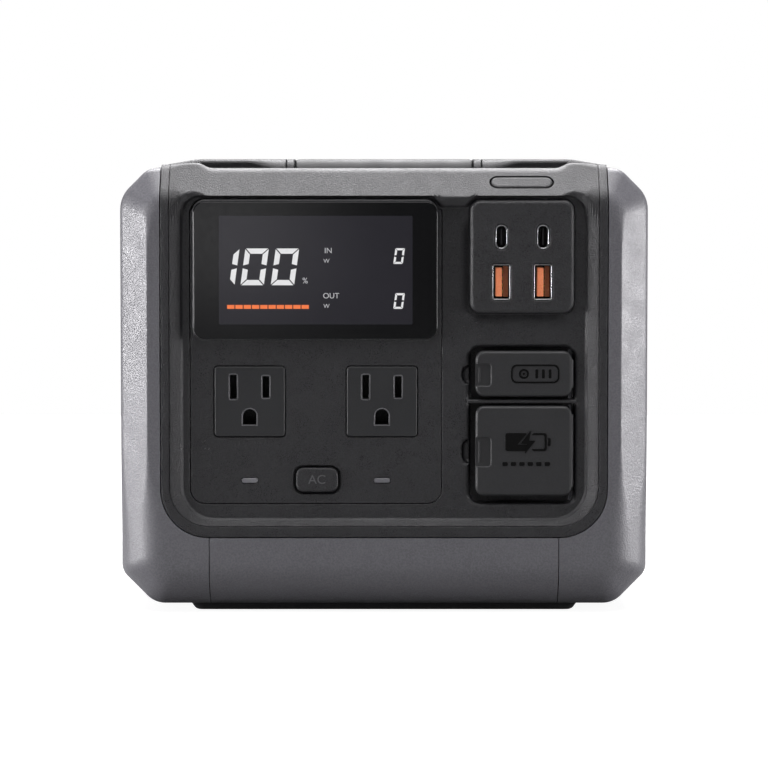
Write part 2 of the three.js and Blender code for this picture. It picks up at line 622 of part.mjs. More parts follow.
for (const [name, side] of [['left', -1], ['right', 1]]) {
  add(`${name}_side_cover`, sideCover(side), 'coverGrey');
  add(`grip_collar_${name}`, gripCollar(side), 'chassisBlack');
  add(`fan_frame_${name}`, fanFrame(side), 'socketBlack');
  add(`fan_rotor_${name}`, fanRotor(side), 'socketBlack');
  add(`outlet_${name}`, outlet(OUTLETS[name]), 'socketBlack');
  add(`light_pipe_${name}`, lightPipe(OUTLETS[name]), 'lightPipe');
  add(`usb_c_${name}`, usbC(USB_X[name]), 'steel');
  add(`usb_a_${name}`, usbA(USB_X[name]), 'usbOrange');
  for (const [place, end] of [['front', -1], ['rear', 1]]) {
    add(`base_screw_${place}_${name}`, baseScrew(side, end), 'steel');
  }
}
for (const [place, end] of [['front', -1], ['rear', 1]]) {
  add(`${place}_skirt`, skirt(end), 'coverGrey');
  add(`${place}_foot`, foot(end), 'rubberBlack');
}
add('top_shell', topShell(), 'chassisBlack');
add('bottom_tray', bottomTray(), 'chassisBlack');
add('front_frame', frontFrame(), 'chassisBlack');
add('front_bezel', frontBezel(), 'panelBlack');
add('rear_panel', rearPanel(), 'panelBlack');
add('main_panel', mainPanel(), 'panelBlack');
add('usb_panel', usbPanel(), 'panelBlack');
add('lcd_lens', lcdLens(), 'glossBlack');
add('lcd_module', lcdModule(), 'glossBlack');
add('ac_button', acButton(), 'panelBlack');
add('power_button', powerButton(), 'panelBlack');
add('dc_flap', portFlap(DC_FLAP), 'rubberBlack');
add('charge_flap', portFlap(CHARGE_FLAP), 'rubberBlack');
add('dc_hinge_pin', hingePin(BRIDGE.z1 + GAP, POCKET.z1 - 1.2), 'steel');
add('charge_hinge_pin', hingePin(POCKET.z0 + 1.2, BRIDGE.z0 - GAP), 'steel');
add('dc_port', dcPort(), 'socketBlack');
add('ac_inlet', acInlet(), 'socketBlack');
add('handle_bar', handleBar(), 'chassisBlack');
add('handle_grip', gripSleeve(-GRIP_HALF, GRIP_HALF, 0), 'rubberBlack');
for (let i = 0; i < CELL.count; i += 1) add(`cell_${i + 1}`, cell(i), 'cellBlue');
add('pack_cradle', packCradle(), 'carrierWhite');
add('busbar_carrier', busbarCarrier(), 'aluminium');
add('bms_board', bmsBoard(), 'boardGreen');
add('mid_plate', midPlate(), 'aluminium');
add('inverter_board', inverterBoard(), 'boardGreen');
add('heat_sink', heatSink(), 'aluminium');
add('transformer', transformer(), 'copperWinding');
add('front_board', frontBoard(), 'boardGreen');

export default powerStation;
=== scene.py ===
"""Portable power station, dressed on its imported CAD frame.

Every fine piece is placed by the box of the CAD node that it stands for. Shapes are
written in millimetres and become metres in make(). +X is the user's right, the control
face looks along -Y, and Z is up.
"""
import json
import math
from collections import namedtuple

import bmesh
import bpy
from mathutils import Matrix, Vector

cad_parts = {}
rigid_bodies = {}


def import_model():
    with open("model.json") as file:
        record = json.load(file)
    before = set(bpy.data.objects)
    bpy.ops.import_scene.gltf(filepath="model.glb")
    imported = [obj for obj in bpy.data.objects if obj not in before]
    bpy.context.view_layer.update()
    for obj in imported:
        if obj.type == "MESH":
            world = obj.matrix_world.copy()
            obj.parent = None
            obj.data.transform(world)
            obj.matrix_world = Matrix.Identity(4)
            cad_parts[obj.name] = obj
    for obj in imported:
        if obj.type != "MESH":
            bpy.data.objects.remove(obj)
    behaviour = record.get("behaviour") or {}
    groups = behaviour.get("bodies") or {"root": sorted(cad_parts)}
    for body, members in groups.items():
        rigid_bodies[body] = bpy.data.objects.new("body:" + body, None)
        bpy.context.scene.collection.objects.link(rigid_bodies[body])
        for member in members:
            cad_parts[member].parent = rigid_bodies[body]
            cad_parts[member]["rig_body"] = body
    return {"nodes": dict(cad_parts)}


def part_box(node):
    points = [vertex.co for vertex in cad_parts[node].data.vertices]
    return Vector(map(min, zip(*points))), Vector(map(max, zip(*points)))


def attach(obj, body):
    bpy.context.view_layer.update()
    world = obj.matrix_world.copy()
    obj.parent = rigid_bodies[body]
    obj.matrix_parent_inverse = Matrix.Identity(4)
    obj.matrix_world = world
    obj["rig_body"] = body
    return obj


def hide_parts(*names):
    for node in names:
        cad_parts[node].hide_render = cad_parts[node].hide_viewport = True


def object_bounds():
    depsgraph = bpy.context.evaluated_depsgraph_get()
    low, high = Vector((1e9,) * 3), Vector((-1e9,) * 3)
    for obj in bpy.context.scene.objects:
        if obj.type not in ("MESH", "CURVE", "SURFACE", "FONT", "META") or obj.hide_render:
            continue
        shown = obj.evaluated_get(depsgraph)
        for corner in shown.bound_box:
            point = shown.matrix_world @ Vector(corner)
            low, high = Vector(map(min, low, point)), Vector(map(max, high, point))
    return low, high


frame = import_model()
CAD_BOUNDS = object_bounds()

MM = 0.001
SIDES = {"left": -1, "right": 1}
ENDS = {"front": -1, "rear": 1}
SLOT_STARTS = {
    "cover_grey": ("left_side", "right_side", "front_skirt", "rear_skirt"),
    "chassis_black": ("top_shell", "bottom_tray", "front_frame", "handle_bar", "grip_collar"),
    "panel_black": ("front_bezel", "rear_panel", "main_panel", "usb_panel", "ac_button", "power_button"),
    "rubber_black": ("dc_flap", "charge_flap", "handle_grip", "front_foot", "rear_foot"),
    "display_glass": ("lcd_lens",),
    "display_module": ("lcd_module",),
    "socket_black": ("outlet", "dc_port", "ac_inlet", "fan"),
    "light_pipe": ("light_pipe",),
    "usb_orange": ("usb_a",),
    "steel": ("usb_c", "base_screw", "dc_hinge", "charge_hinge"),
    "cell_sleeve": ("cell",),
    "board_green": ("bms_board", "inverter_board", "front_board"),
    "sheet_aluminium": ("busbar_carrier", "mid_plate", "heat_sink"),
    "copper_winding": ("transformer",),
    "carrier_white": ("pack_cradle",),
}
SLOT_OF = {node: slot for slot, starts in SLOT_STARTS.items()
           for node in frame["nodes"] if node.startswith(starts)}

Span = namedtuple("Span", "x0 x1 y0 y1 z0 z1 x y z")


def span(node):
    """The node's box and its middle, in millimetres."""
    low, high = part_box(node)
    low, high = low / MM, high / MM
    middle = (low + high) / 2
    return Span(low.x, high.x, low.y, high.y, low.z, high.z, *middle)


# The body
COVER = span("right_side_cover")
HALF = COVER.x1                     # half the width of the body
FRONT, BACK = COVER.y0, COVER.y1    # the planes of the two faces
COVER_DROP = 1.7                    # how much lower the body comes than its CAD nodes
BASE, DECK = COVER.z0 - COVER_DROP, COVER.z1
HEIGHT = span("handle_grip").z1
EDGE = 11.0                         # 45 degree band round the front and the back
TOP_CHAMFER, BOTTOM_CHAMFER = 11.2, 12.9
CORNER_BENDS = (10, 7, 12, 8)       # rounding of the outline's corners on one side, going up
CORNER_STEPS = 7                    # points of the outline round a corner and along a side
SIDE_STEPS = 12
BAND_STEPS = 6                      # and round each edge of the band
SHARP_RADII = (1.3, 5.0)            # front and outer rounding of the band along the sides
LOWER_RADII = (15.0, 16.0)          # the same along the bottom, where the band fades
UPPER_RADII = (9.0, 6.0)            # and along the top
LOWER_FADE = (26.0, 64.0)           # heights over which the lower rounding gives way
UPPER_FADE = (150.0, 164.0)
BEND = math.tan(math.radians(22.5))    # reach of a 45 degree bend of radius 1 along its sides
DIAGONAL = math.sqrt(0.5)
WALL = 2.5
GAP = 0.3
SHARP_ANGLE = 40                    # edges sharper than this stay sharp, or are rounded
BEYOND = 20.0                       # how far cutting tools reach past the body
EDGE_ROUND = 0.35
SLOT_WIDTH, SLOT_BEND = 3.4, 1.6    # the air slots in the sides and the back
SIDE_SLOTS, SIDE_SLOT_START, SIDE_SLOT_PITCH = 11, 15.7, 9
SIDE_SLOT_MIDDLE, SIDE_SLOT_HEIGHT = 48, 32
GRILLE_RADIUS, GRILLE_PITCH = 29, 6

# The leaning band, its lip and the frame round the control face
SLOPE_START = DECK - EDGE           # where the face starts to lean back
FRAME_HALF, FRAME_RADIUS, FRAME_WIDTH, FRAME_DEPTH = 87.5, 19.0, 3.5, 14.0
FRAME_BOTTOM = span("front_frame").z0 - GAP
FRAME_TOP = DECK + 1.4
FRAME_PROFILE = [(0, 3), (0, 0.4), (0.03, 0.12), (0.12, 0), (0.5, -0.06),
                 (0.88, 0), (0.97, 0.12), (1, 0.4), (1, 3)]    # (share of its width, depth)
FRAME_ROLL = (9.0, 4.5)             # radii where the frame starts to lean and where it levels out
FRAME_INNER_HALF, FRAME_INNER_RADIUS = FRAME_HALF - FRAME_WIDTH - 0.18, 15.5
FRAME_INNER_BOTTOM = FRAME_BOTTOM + 4.58
LIP_ROLL = (1.3, 7.0)               # the same radii above the blocks
LIP_SOFTENS = (68, 80)              # distances from the middle over which the lower one grows
LIP_RISE = (67.5, 73.5)             # and over which the lip rises to the side rails
RAIL_SLOPE = (76, 84)               # and over which a rail slopes down outwards
RAIL_DROP = 1.0

# The control face
RECESS = 3.2                        # depth of its floor
POCKET_DEPTH = 11.0
POCKET_BOX = (33.3, 74.5, 43.7, 105.2)    # x0, x1, z0, z1
BRIDGE = (83, 84.5)                 # heights of the bar between the flaps
PORT_HOLES = {"dc_port": (24.6, 11.2), "ac_inlet": (27.2, 20.2)}      # sizes in the pocket's floor
FLAP_TABS = {"dc_flap": (89.8, 98.6), "charge_flap": (58.3, 69.8)}    # heights of the pull tabs
TAB_END = 41.8
PLATE_TOP = 158.6                   # upper edge of the main panel beside the display block
BLOCK_END, BLOCK_BOTTOM = 21.0, 107.6    # right and lower edges of the display block
FLOOR_BOTTOM, FLOOR_TOP = 39.0, 163.1
FLOOR_RADIUS, FLOOR_UPPER_RADIUS = 11.5, 7.0
FLOOR_HALF = 77.4
ROLL_WIDTH = 6.6                    # width of the border's slope down to the floor
TIGHT_ROLL, WIDE_ROLL = 1.2, 5.0    # the same under the leaning band
ROLL_OPENS = (69, 75)               # distances from the middle over which it widens
SLOPE_DROP = 0.7                    # share of the drop that its even slope takes, before the wall
BLOCK_GAP = (21.3, 33.1)            # between the display block and the USB block
GAP_DROP = 4.6                      # how much lower the floor's edge is there
RIM_RADII = (15.2, 1.5)             # lower and upper corners of the border's rim
BORDER_POINTS = (36, 110, 36, 30)   # points along its right, top, left and bottom edges
SPREAD_START, SPREAD = 50, 150      # the border's rings stretch above the first, over the second
USB_DIP = [(0, -1), (0, 0), (-0.6, 0.02), (-1.6, 0.1),
           (-2.6, 0.28), (-3.5, 0.58), (-4.3, 0.95), (-5.0, 1.3)]    # the sunk floor round the USB block
BUTTON_X, BUTTON_WIDTH, BUTTON_HEIGHT = 53.7, 24.4, 6.0
BUTTON_UP = 5.6                     # how far up the leaning band the power button sits
AC_TRIM = (2.4, 2.6)                # how much smaller than its CAD flange the AC button's cap is
# (grow, depth below the leaning band) of the power button and of the hole that it sits in
BUTTON_FORM = [(-2.2, -0.05), (-1.2, -0.12), (-0.8, -0.08), (-0.4, 0.08), (-0.12, 0.35), (0, 0.7), (0, 4)]
BUTTON_HOLE = [(0.5, -3), (0.5, -0.1), (0.35, 0.15), (0.35, 14)]
OUTLET_SLOTS = ((-6.35, 9.4), (6.35, 8.4))    # place and height of the blade slots
OUTLET_DEPTH = 14
SOCKET_DEPTH = 9
USB_SHELLS = {"usb_c": (2.4, 0.55, 1.85, 9), "usb_a": (0.9, 0.4, 0.5, 7)}    # radius, wall, inner radius, steps
DISPLAY = (-64.3, 11.1, 114.0, 156.3)    # x0, x1, z0, z1 of its lit sheet
SEGMENTS = {"0": "abcdef", "1": "bc"}
SLANT = 0.14                        # lean of the display's figures
SHEET = 0.03                        # thickness of the printed and lit marks

# The top
WELL = (-66, 66, -52, 52, 14)       # x0, x1, y0, y1 and corner radius of the hand well
WELL_FLOOR, WELL_TOP = 129.0, 171.4
# (grow, height) of the rounded lip above its walls
WELL_LIP = [(0.25, 172.0), (0.7, 172.5), (1.5, 173.1), (2.0, 173.7), (2.2, HEIGHT + 2)]
DECK_PLATE = 5                      # depth of the top shell's skin below the deck
# distances of the deck's rows of points from its middle, besides those near the two ends
ROWS = (0, 10, 20, 30, 40, 48, 53, 55, 60, 70, 85, 100, 118, 130)
ARM_END = 79.0                      # how far out the handle's arms reach inside the deck
ARM_SINKS_TO = 171.0                # height of their underside there
FOOT_AHEAD = 8.0                    # how much nearer the end a foot sits than its CAD node
FOOT_TOE = 74.5                     # half length of its sole
FOOT_GROOVES = 22

# The view, in metres
CAMERA_BACK, CAMERA_HEIGHT, CAMERA_TILT = 1.5, 0.19, 3.785
LENS, SENSOR = 180.7, 36
LAMPS = {                           # place, size and power
    "overhead": ((0, -0.3, 1.3), (1.5, 1.2), 25),
    "left_side": ((-1.3, -0.35, 0.05), (0.9, 0.44), 38),
    "right_side": ((1.3, -0.2, 0.05), (0.9, 0.44), 28),
    "front": ((0, -1.7, 1.4), (1.4, 0.7), 2),
    "rear": ((0, 0.85, 1.3), (1.5, 1.2), 42),
    "glass_card": ((-0.17, -2.6, 0.085), (0.2, 0.13), 0.1),
}
LAMP_COLOUR = (0.99, 0.98, 1.0)
FLOOR_GREYS = (0.3, 0.3, 0.3), (0.33, 0.33, 0.33)
FLOOR_REACH = (1600, -1600, 900)    # sideways, to the front and to the back, in millimetres
WHITE = (1, 1, 1, 1)


# ---- meshes ----
def new_object(name, data):
    """A new object in the scene."""
    made = bpy.data.objects.new(name, data)
    bpy.context.scene.collection.objects.link(made)
    return made


def make(name, points, faces):
    """A piece from points in millimetres, its faces turned outwards."""
    mesh = bpy.data.meshes.new(name)
    mesh.from_pydata([[value * MM for value in point] for point in points], [], faces)
    work = bmesh.new()
    work.from_mesh(mesh)
    bmesh.ops.recalc_face_normals(work, faces=work.faces)
    work.to_mesh(mesh)
    work.free()
    return new_object(name, mesh)


def skin(name, rings):
    """A skin over rings of equal length, with a cap on each end."""
    count = len(rings[0])
    points = [point for ring in rings for point in ring]
    faces = []
    for ring in range(len(rings) - 1):
        for i in range(count):
            a, b = ring * count + i, ring * count + (i + 1) % count
            faces.append((a, a + count, b + count, b))
    faces.append(tuple(range(count)))
    faces.append(tuple(reversed(range(len(points) - count, len(points)))))
    return make(name, points, faces)


def outline(x0, x1, z0, z1, radius, upper=None, steps=7):
    """A rounded rectangle as a function of how far it is grown."""
    upper = radius if upper is None else upper

    def ring(grow=0.0):
        corners = (
            (x1 + grow, z0 - grow, radius, 1, -1, -90),
            (x1 + grow, z1 + grow, upper, 1, 1, 0),
            (x0 - grow, z1 + grow, upper, -1, 1, 90),
            (x0 - grow, z0 - grow, radius, -1, -1, 180),
        )
        points = []
        for x, z, corner, to_x, to_z, start in corners:
            bend = max(corner + grow, 0.05)
            for step in range(steps + 1):
                angle = math.radians(start + 90 * step / steps)
                points.append((x - to_x * bend + bend * math.cos(angle),
                               z - to_z * bend + bend * math.sin(angle)))
        return points

    return ring


def box_outline(x, z, width, height, radius, steps=7):
    return outline(x - width / 2, x + width / 2, z - height / 2, z + height / 2, radius, steps=steps)


def rect(box, grow=0.0):
    """The front edges of a node's box, for outline."""
    return box.x0 - grow, box.x1 + grow, box.z0 - grow, box.z1 + grow


def stack(name, ring, levels):
    """The outline at each (grow, y) level, from the front to the back, as one closed skin."""
    return skin(name, [[(x, y, z) for x, z in ring(grow)] for grow, y in levels])


def arc(radius, steps=5):
    """(inwards, along) offsets of a quarter round from its face to its side."""
    angles = [math.pi / 2 * step / steps for step in range(steps + 1)]
    return [(radius * (1 - math.sin(a)), radius * (1 - math.cos(a))) for a in angles]


def raised(front, back, radius, steps=5):
    """Levels of a boss whose front edge is rounded."""
    return [(-inwards, front + along) for inwards, along in arc(radius, steps)] + [(0, back)]


def hollow(surface, bottom, lip, foot=0.0):
    """Levels of a tool that cuts a hole with a rounded lip and, where foot is given, a rounded bottom."""
    levels = [(lip, surface - 8)] + [(inwards, surface + along) for inwards, along in arc(lip)]
    if foot:
        levels += [(-inwards, bottom - along) for inwards, along in reversed(arc(foot))]
    else:
        levels.append((0, bottom))
    return levels


def prism(name, ring, y0, y1):
    return stack(name, ring, [(0, y0), (0, y1)])


def block(name, x0, x1, y0, y1, z0, z1):
    return skin(name, [[(x0, y, z0), (x1, y, z0), (x1, y, z1), (x0, y, z1)] for y in (y0, y1)])


def along_x(name, ring, levels):
    """Like stack, but the outline lies in y and z, and the levels run along x."""
    return skin(name, [[(x, y, z) for y, z in ring(grow)] for grow, x in levels])


def along_z(name, ring, levels):
    return skin(name, [[(x, y, z) for x, y in ring(grow)] for grow, z in levels])


def round_ring(x, z, radius, steps):
    """A circle as a function of how far it is grown."""
    def ring(grow=0.0):
        angles = [math.tau * step / steps for step in range(steps)]
        return [(x + (radius + grow) * math.cos(a), z + (radius + grow) * math.sin(a)) for a in angles]
    return ring


def solid_mesh(item):
    """A new mesh of the object as it is now, with its modifiers or its extruded text."""
    graph = bpy.context.evaluated_depsgraph_get()
    graph.update()
    return bpy.data.meshes.new_from_object(item.evaluated_get(graph), depsgraph=graph)


def settle(piece):
    """Applies the piece's modifiers."""
    old = piece.data
    piece.data = solid_mesh(piece)
    piece.modifiers.clear()
    bpy.data.meshes.remove(old)


def combine(piece, tools, operation="DIFFERENCE"):
    """Cuts the tools from the piece, or joins them to it, and uses them up."""
    for tool in tools:
        modifier = piece.modifiers.new("combine", "BOOLEAN")
        modifier.object = tool
        modifier.operation = operation
        modifier.solver = "MANIFOLD"
    settle(piece)
    for tool in tools:
        bpy.data.objects.remove(tool)
    return piece


def bevel(piece, width, angle=SHARP_ANGLE):
    edges = piece.modifiers.new("edges", "BEVEL")
    edges.width = width * MM
    edges.segments = 2
    edges.limit_method = "ANGLE"
    edges.angle_limit = math.radians(angle)
    return edges


def smooth(piece):
    for polygon in piece.data.polygons:
        polygon.use_smooth = True


def soften(piece, width, angle):
    """Rounds the sharp edges a little and keeps the flat faces flat in the light."""
    smooth(piece)
    if width:
        bevel(piece, width, angle).miter_outer = "MITER_ARC"
        settle(piece)
        smooth(piece)
    piece.data.set_sharp_from_angle(angle=math.radians(angle))
    normals = piece.modifiers.new("normals", "WEIGHTED_NORMAL")
    normals.keep_sharp = True
    normals.weight = 80
    settle(piece)
    return piece


# ---- materials ----
MIX_COLOURS, MIX_RESULT = (6, 7), 2    # the colour sockets of a Mix node


class Nodes:
    """The node tree of a material or of the world."""

    def __init__(self, owner):
        owner.use_nodes = True
        self.owner = owner
        self.tree = owner.node_tree
        self.tree.nodes.clear()

    def node(self, kind, inputs=None, **settings):
        """A new node; each input is a socket to link or a value to set."""
        made = self.tree.nodes.new(kind)
        for key, value in settings.items():
            setattr(made, key, value)
        for key, value in (inputs or {}).items():
            if isinstance(value, bpy.types.NodeSocket):
                self.tree.links.new(value, made.inputs[key])
            else:
                made.inputs[key].default_value = value
        return made

    def by_view(self, seen, unseen):
        """One shader for what the camera sees and another for everything that light meets."""
        camera_ray = self.node("ShaderNodeLightPath").outputs["Is Camera Ray"]
        return self.node("ShaderNodeMixShader", {"Fac": camera_ray, 1: unseen, 2: seen}).outputs["Shader"]


class Finish(Nodes):
    """A material built from a few named layers."""

    def __init__(self, name):
        super().__init__(bpy.data.materials.new(name))
        self.place = self.node("ShaderNodeTexCoord").outputs["Object"]

    def noise(self, scale, detail=2.0, roughness=0.5, stretch=None):
        vector = self.place
        if stretch:
            vector = self.node("ShaderNodeMapping", {"Vector": vector, "Scale": stretch}).outputs["Vector"]
        settings = {"Vector": vector, "Scale": scale, "Detail": detail, "Roughness": roughness}
        return self.node("ShaderNodeTexNoise", settings).outputs["Fac"]

    def cells(self, scale, feature="F1"):
        made = self.node("ShaderNodeTexVoronoi", {"Vector": self.place, "Scale": scale}, feature=feature)
        return made.outputs["Distance"]

    def span(self, value, low, high, start=0.3, end=0.7):
        settings = {"Value": value, "From Min": start, "From Max": end, "To Min": low, "To Max": high}
        return self.node("ShaderNodeMapRange", settings).outputs["Result"]

    def blend(self, share, first, second):
        inputs = {"Factor": share}
        for key, colour in zip(MIX_COLOURS, (first, second)):
            inputs[key] = colour if isinstance(colour, bpy.types.NodeSocket) else (*colour, 1)
        return self.node("ShaderNodeMix", inputs, data_type="RGBA").outputs[MIX_RESULT]

    def bump(self, height, depth, strength=1.0, under=None):
        settings = {"Height": height, "Distance": depth * MM, "Strength": strength}
        if under is not None:
            settings["Normal"] = under
        return self.node("ShaderNodeBump", settings).outputs["Normal"]

    def close(self, **inputs):
        named = {key.replace("_", " "): value for key, value in inputs.items()}
        shader = self.node("ShaderNodeBsdfPrincipled", named)
        self.node("ShaderNodeOutputMaterial", {"Surface": shader.outputs["BSDF"]})
        return self.owner


def moulded(name, dark, light, roughness, grain, depth, speckle=0.0):
    """Injection-moulded plastic: a fine pebbled grain, and patches where it is slightly shinier."""
    finish = Finish(name)
    fine = finish.noise(grain, roughness=0.6)
    pits = finish.noise(grain * 2.3, detail=1)
    tone = finish.blend(finish.span(fine, 0, 1, 0.35, 0.65), dark, light)
    worn = finish.blend(finish.span(finish.noise(45, 4, 0.6), 0, 0.3), tone, light)
    patches = finish.span(finish.noise(130, 3), roughness - 0.05, roughness + 0.05)
    sparkle = finish.span(pits, -speckle, speckle, 0.35, 0.65)
    shine = finish.node("ShaderNodeMath", {0: patches, 1: sparkle}, operation="ADD").outputs[0]
    normal = finish.bump(pits, depth * 0.4, under=finish.bump(fine, depth))
    return finish.close(Base_Color=worn, Roughness=shine, Normal=normal)


def metal(name, dark, light, roughness, stretch=(1, 1, 30)):
    """Drawn or rolled metal with fine lines along one direction."""
    finish = Finish(name)
    lines = finish.noise(150, 3, 0.6, stretch)
    tone = finish.blend(finish.span(lines, 0, 1), dark, light)
    shine = finish.span(finish.noise(90, 3), roughness - 0.06, roughness + 0.1)
    normal = finish.bump(lines, 0.01)
    return finish.close(Base_Color=tone, Metallic=1.0, Roughness=shine, Normal=normal)


def glossy(name, dark, light, roughness, coat, specular=0.5):
    """Hard gloss with the faint waviness and dust of a real cover sheet."""
    finish = Finish(name)
    film = finish.noise(28, 3)
    tone = finish.blend(finish.span(film, 0, 1), dark, light)
    shine = finish.span(finish.noise(400, 4), roughness, roughness + 0.02)
    normal = finish.bump(film, 0.02, 0.3)
    return finish.close(Base_Color=tone, Roughness=shine, Normal=normal, Coat_Weight=coat,
                        Coat_Roughness=0.03, Specular_IOR_Level=specular)


def lit(name, colour, strength):
    """A lit display segment: bright, with the slight unevenness of a diffuser behind it."""
    finish = Finish(name)
    uneven = finish.span(finish.noise(500, 2), 0, 1)
    glow = finish.blend(uneven, [c * 0.93 for c in colour], colour)
    unlit = finish.blend(uneven, [c * 0.07 for c in colour], [c * 0.1 for c in colour])
    return finish.close(Base_Color=unlit, Emission_Color=glow, Emission_Strength=strength, Roughness=0.3)


def circuit_board(name):
    finish = Finish(name)
    tracks = finish.cells(220, "DISTANCE_TO_EDGE")
    pads = finish.cells(650)
    green = finish.blend(finish.span(tracks, 0, 1, 0.02, 0.05), (0.03, 0.16, 0.08), (0.008, 0.07, 0.035))
    tone = finish.blend(finish.span(pads, 1, 0, 0.1, 0.14), green, (0.5, 0.45, 0.3))
    shine = finish.span(finish.noise(200, 3), 0.3, 0.5)
    return finish.close(Base_Color=tone, Roughness=shine, Normal=finish.bump(tracks, 0.05))


def winding(name):
    finish = Finish(name)
    turns = finish.node("ShaderNodeTexWave", {"Vector": finish.place, "Scale": 260, "Distortion": 0.4,
                                              "Detail": 1.0}, bands_direction="Z").outputs["Fac"]
    tone = finish.blend(turns, (0.16, 0.05, 0.02), (0.62, 0.26, 0.1))
    return finish.close(Base_Color=tone, Metallic=0.8, Roughness=0.35, Normal=finish.bump(turns, 0.3))


RECIPES = {
    "cover_grey": (moulded, (0.076, 0.075, 0.083), (0.116, 0.1145, 0.125), 0.4, 1500, 0.12, 0.07),
    "chassis_black": (moulded, (0.006, 0.006, 0.0068), (0.019, 0.0187, 0.021), 0.41, 1900, 0.22, 0.14),
    "panel_black": (moulded, (0.0055, 0.0055, 0.0062), (0.0175, 0.0172, 0.0192), 0.41, 1900, 0.22, 0.14),
    "rubber_black": (moulded, (0.0095, 0.0096, 0.0105), (0.016, 0.0162, 0.0175), 0.53, 2600, 0.012),
    "socket_black": (moulded, (0.01, 0.0103, 0.011), (0.018, 0.0184, 0.02), 0.42, 2400, 0.015),
    "display_glass": (glossy, (0.0015, 0.0016, 0.002), (0.003, 0.0031, 0.0036), 0.12, 0.0),
    "display_module": (glossy, (0.01, 0.0105, 0.012), (0.016, 0.0165, 0.018), 0.3, 0.2),
    "dark_steel": (metal, (0.02, 0.02, 0.022), (0.04, 0.04, 0.043), 0.45),
    "light_pipe": (glossy, (0.1, 0.1, 0.11), (0.16, 0.16, 0.17), 0.3, 0.2),
    "usb_orange": (moulded, (0.88, 0.23, 0.09), (0.95, 0.32, 0.15), 0.4, 1800, 0.01),
    "steel": (metal, (0.42, 0.42, 0.43), (0.62, 0.62, 0.64), 0.28),
    "cell_sleeve": (glossy, (0.02, 0.08, 0.2), (0.03, 0.12, 0.28), 0.3, 0.3),
    "board_green": (circuit_board,),
    "sheet_aluminium": (metal, (0.5, 0.5, 0.51), (0.72, 0.72, 0.73), 0.35, (1, 30, 1)),
    "copper_winding": (winding,),
    "carrier_white": (moulded, (0.6, 0.6, 0.57), (0.72, 0.72, 0.7), 0.5, 1500, 0.02),
    "segment_white": (lit, (0.8, 0.8, 0.81), 0.92),
    "label_white": (lit, (0.45, 0.45, 0.47), 1.05),
    "segment_orange": (lit, (0.86, 0.19, 0.06), 1.0),
    "display_face": (glossy, (0.0175, 0.0168, 0.0215), (0.0205, 0.0198, 0.025), 0.12, 0.0),
    "mark_gloss": (glossy, (0.002, 0.002, 0.002), (0.003, 0.003, 0.003), 0.3, 0.0, 0.12),
    "mark_grey": (moulded, (0.06, 0.06, 0.063), (0.085, 0.085, 0.09), 0.5, 2000, 0.01),
    # painted highlight: a lighter grey for the outlet slot rims, standing in for light caught by the slot edges
    "rim_grey": (moulded, (0.07, 0.07, 0.075), (0.1, 0.1, 0.105), 0.35, 2000, 0.01),
    "brass": (metal, (0.42, 0.28, 0.1), (0.62, 0.44, 0.18), 0.3),
}
MATERIALS = {name: recipe[0](name, *recipe[1:]) for name, recipe in RECIPES.items()}


def dress(piece, node, material=None, extra=False, slot=None):
    """Gives a piece its material and its node's body and, unless it is an extra, hides the node it stands for.
    """
    slot = slot or SLOT_OF[node]
    piece.data.materials.clear()
    piece.data.materials.append(MATERIALS[material or slot])
    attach(piece, frame["nodes"][node]["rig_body"])
    if not extra:
        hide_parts(node)
    return piece


def add(piece, node, rounding=0.0, angle=SHARP_ANGLE, **how):
    """Finishes a piece: its edges, and then its material and body, and hides its node unless it is an extra."""
    return dress(soften(piece, rounding, angle), node, **how)


# ---- the body's form ----
def body_corners():
    """(x, z, radius) of the body's eight corners, anticlockwise from the lower right."""
    right = list(zip((HALF - BOTTOM_CHAMFER, HALF, HALF, HALF - TOP_CHAMFER),
                     (BASE, BASE + BOTTOM_CHAMFER, DECK - TOP_CHAMFER, DECK), CORNER_BENDS))
    return right + [(-x, z, radius) for x, z, radius in reversed(right)]


def body_point(corner, share, inset):
    """The body's outline at a share of one rounded corner, moved inwards by inset."""
    corners = body_corners()
    inward = []
    for i in (corner - 1, corner):
        (x, z, _), (next_x, next_z, _) = corners[i], corners[(i + 1) % len(corners)]
        inward.append(Vector((z - next_z, next_x - x)).normalized())
    before, after = inward
    x, z, radius = corners[corner]
    chamfer = (TOP_CHAMFER if z > DECK / 2 else BOTTOM_CHAMFER) * math.sqrt(2)
    room = (chamfer / 2 - inset * BEND) / BEND * 0.98
    bend = min(radius, max(room, 0.6))
    reach = (inset + bend) / (1 + before.dot(after))
    centre = Vector((x, z)) + reach * (before + after)
    angle = before.angle_signed(after) * -share
    normal = Vector((before.x * math.cos(angle) - before.y * math.sin(angle),
                     before.x * math.sin(angle) + before.y * math.cos(angle)))
    return centre - bend * normal


def body_stations():
    """Functions of inset that give a point of the outline, anticlockwise round it."""
    stations = []
    for corner in range(8):
        for step in range(CORNER_STEPS + 1):
            stations.append(lambda inset, c=corner, s=step / CORNER_STEPS: body_point(c, s, inset))
        for step in range(1, SIDE_STEPS):
            stations.append(lambda inset, c=corner, s=step / SIDE_STEPS: body_point(c, 1, inset).lerp(
                body_point((c + 1) % 8, 0, inset), s))
    return stations


def ease(value, start, end):
    share = min(max((value - start) / (end - start), 0), 1)
    return share * share * (3 - 2 * share)


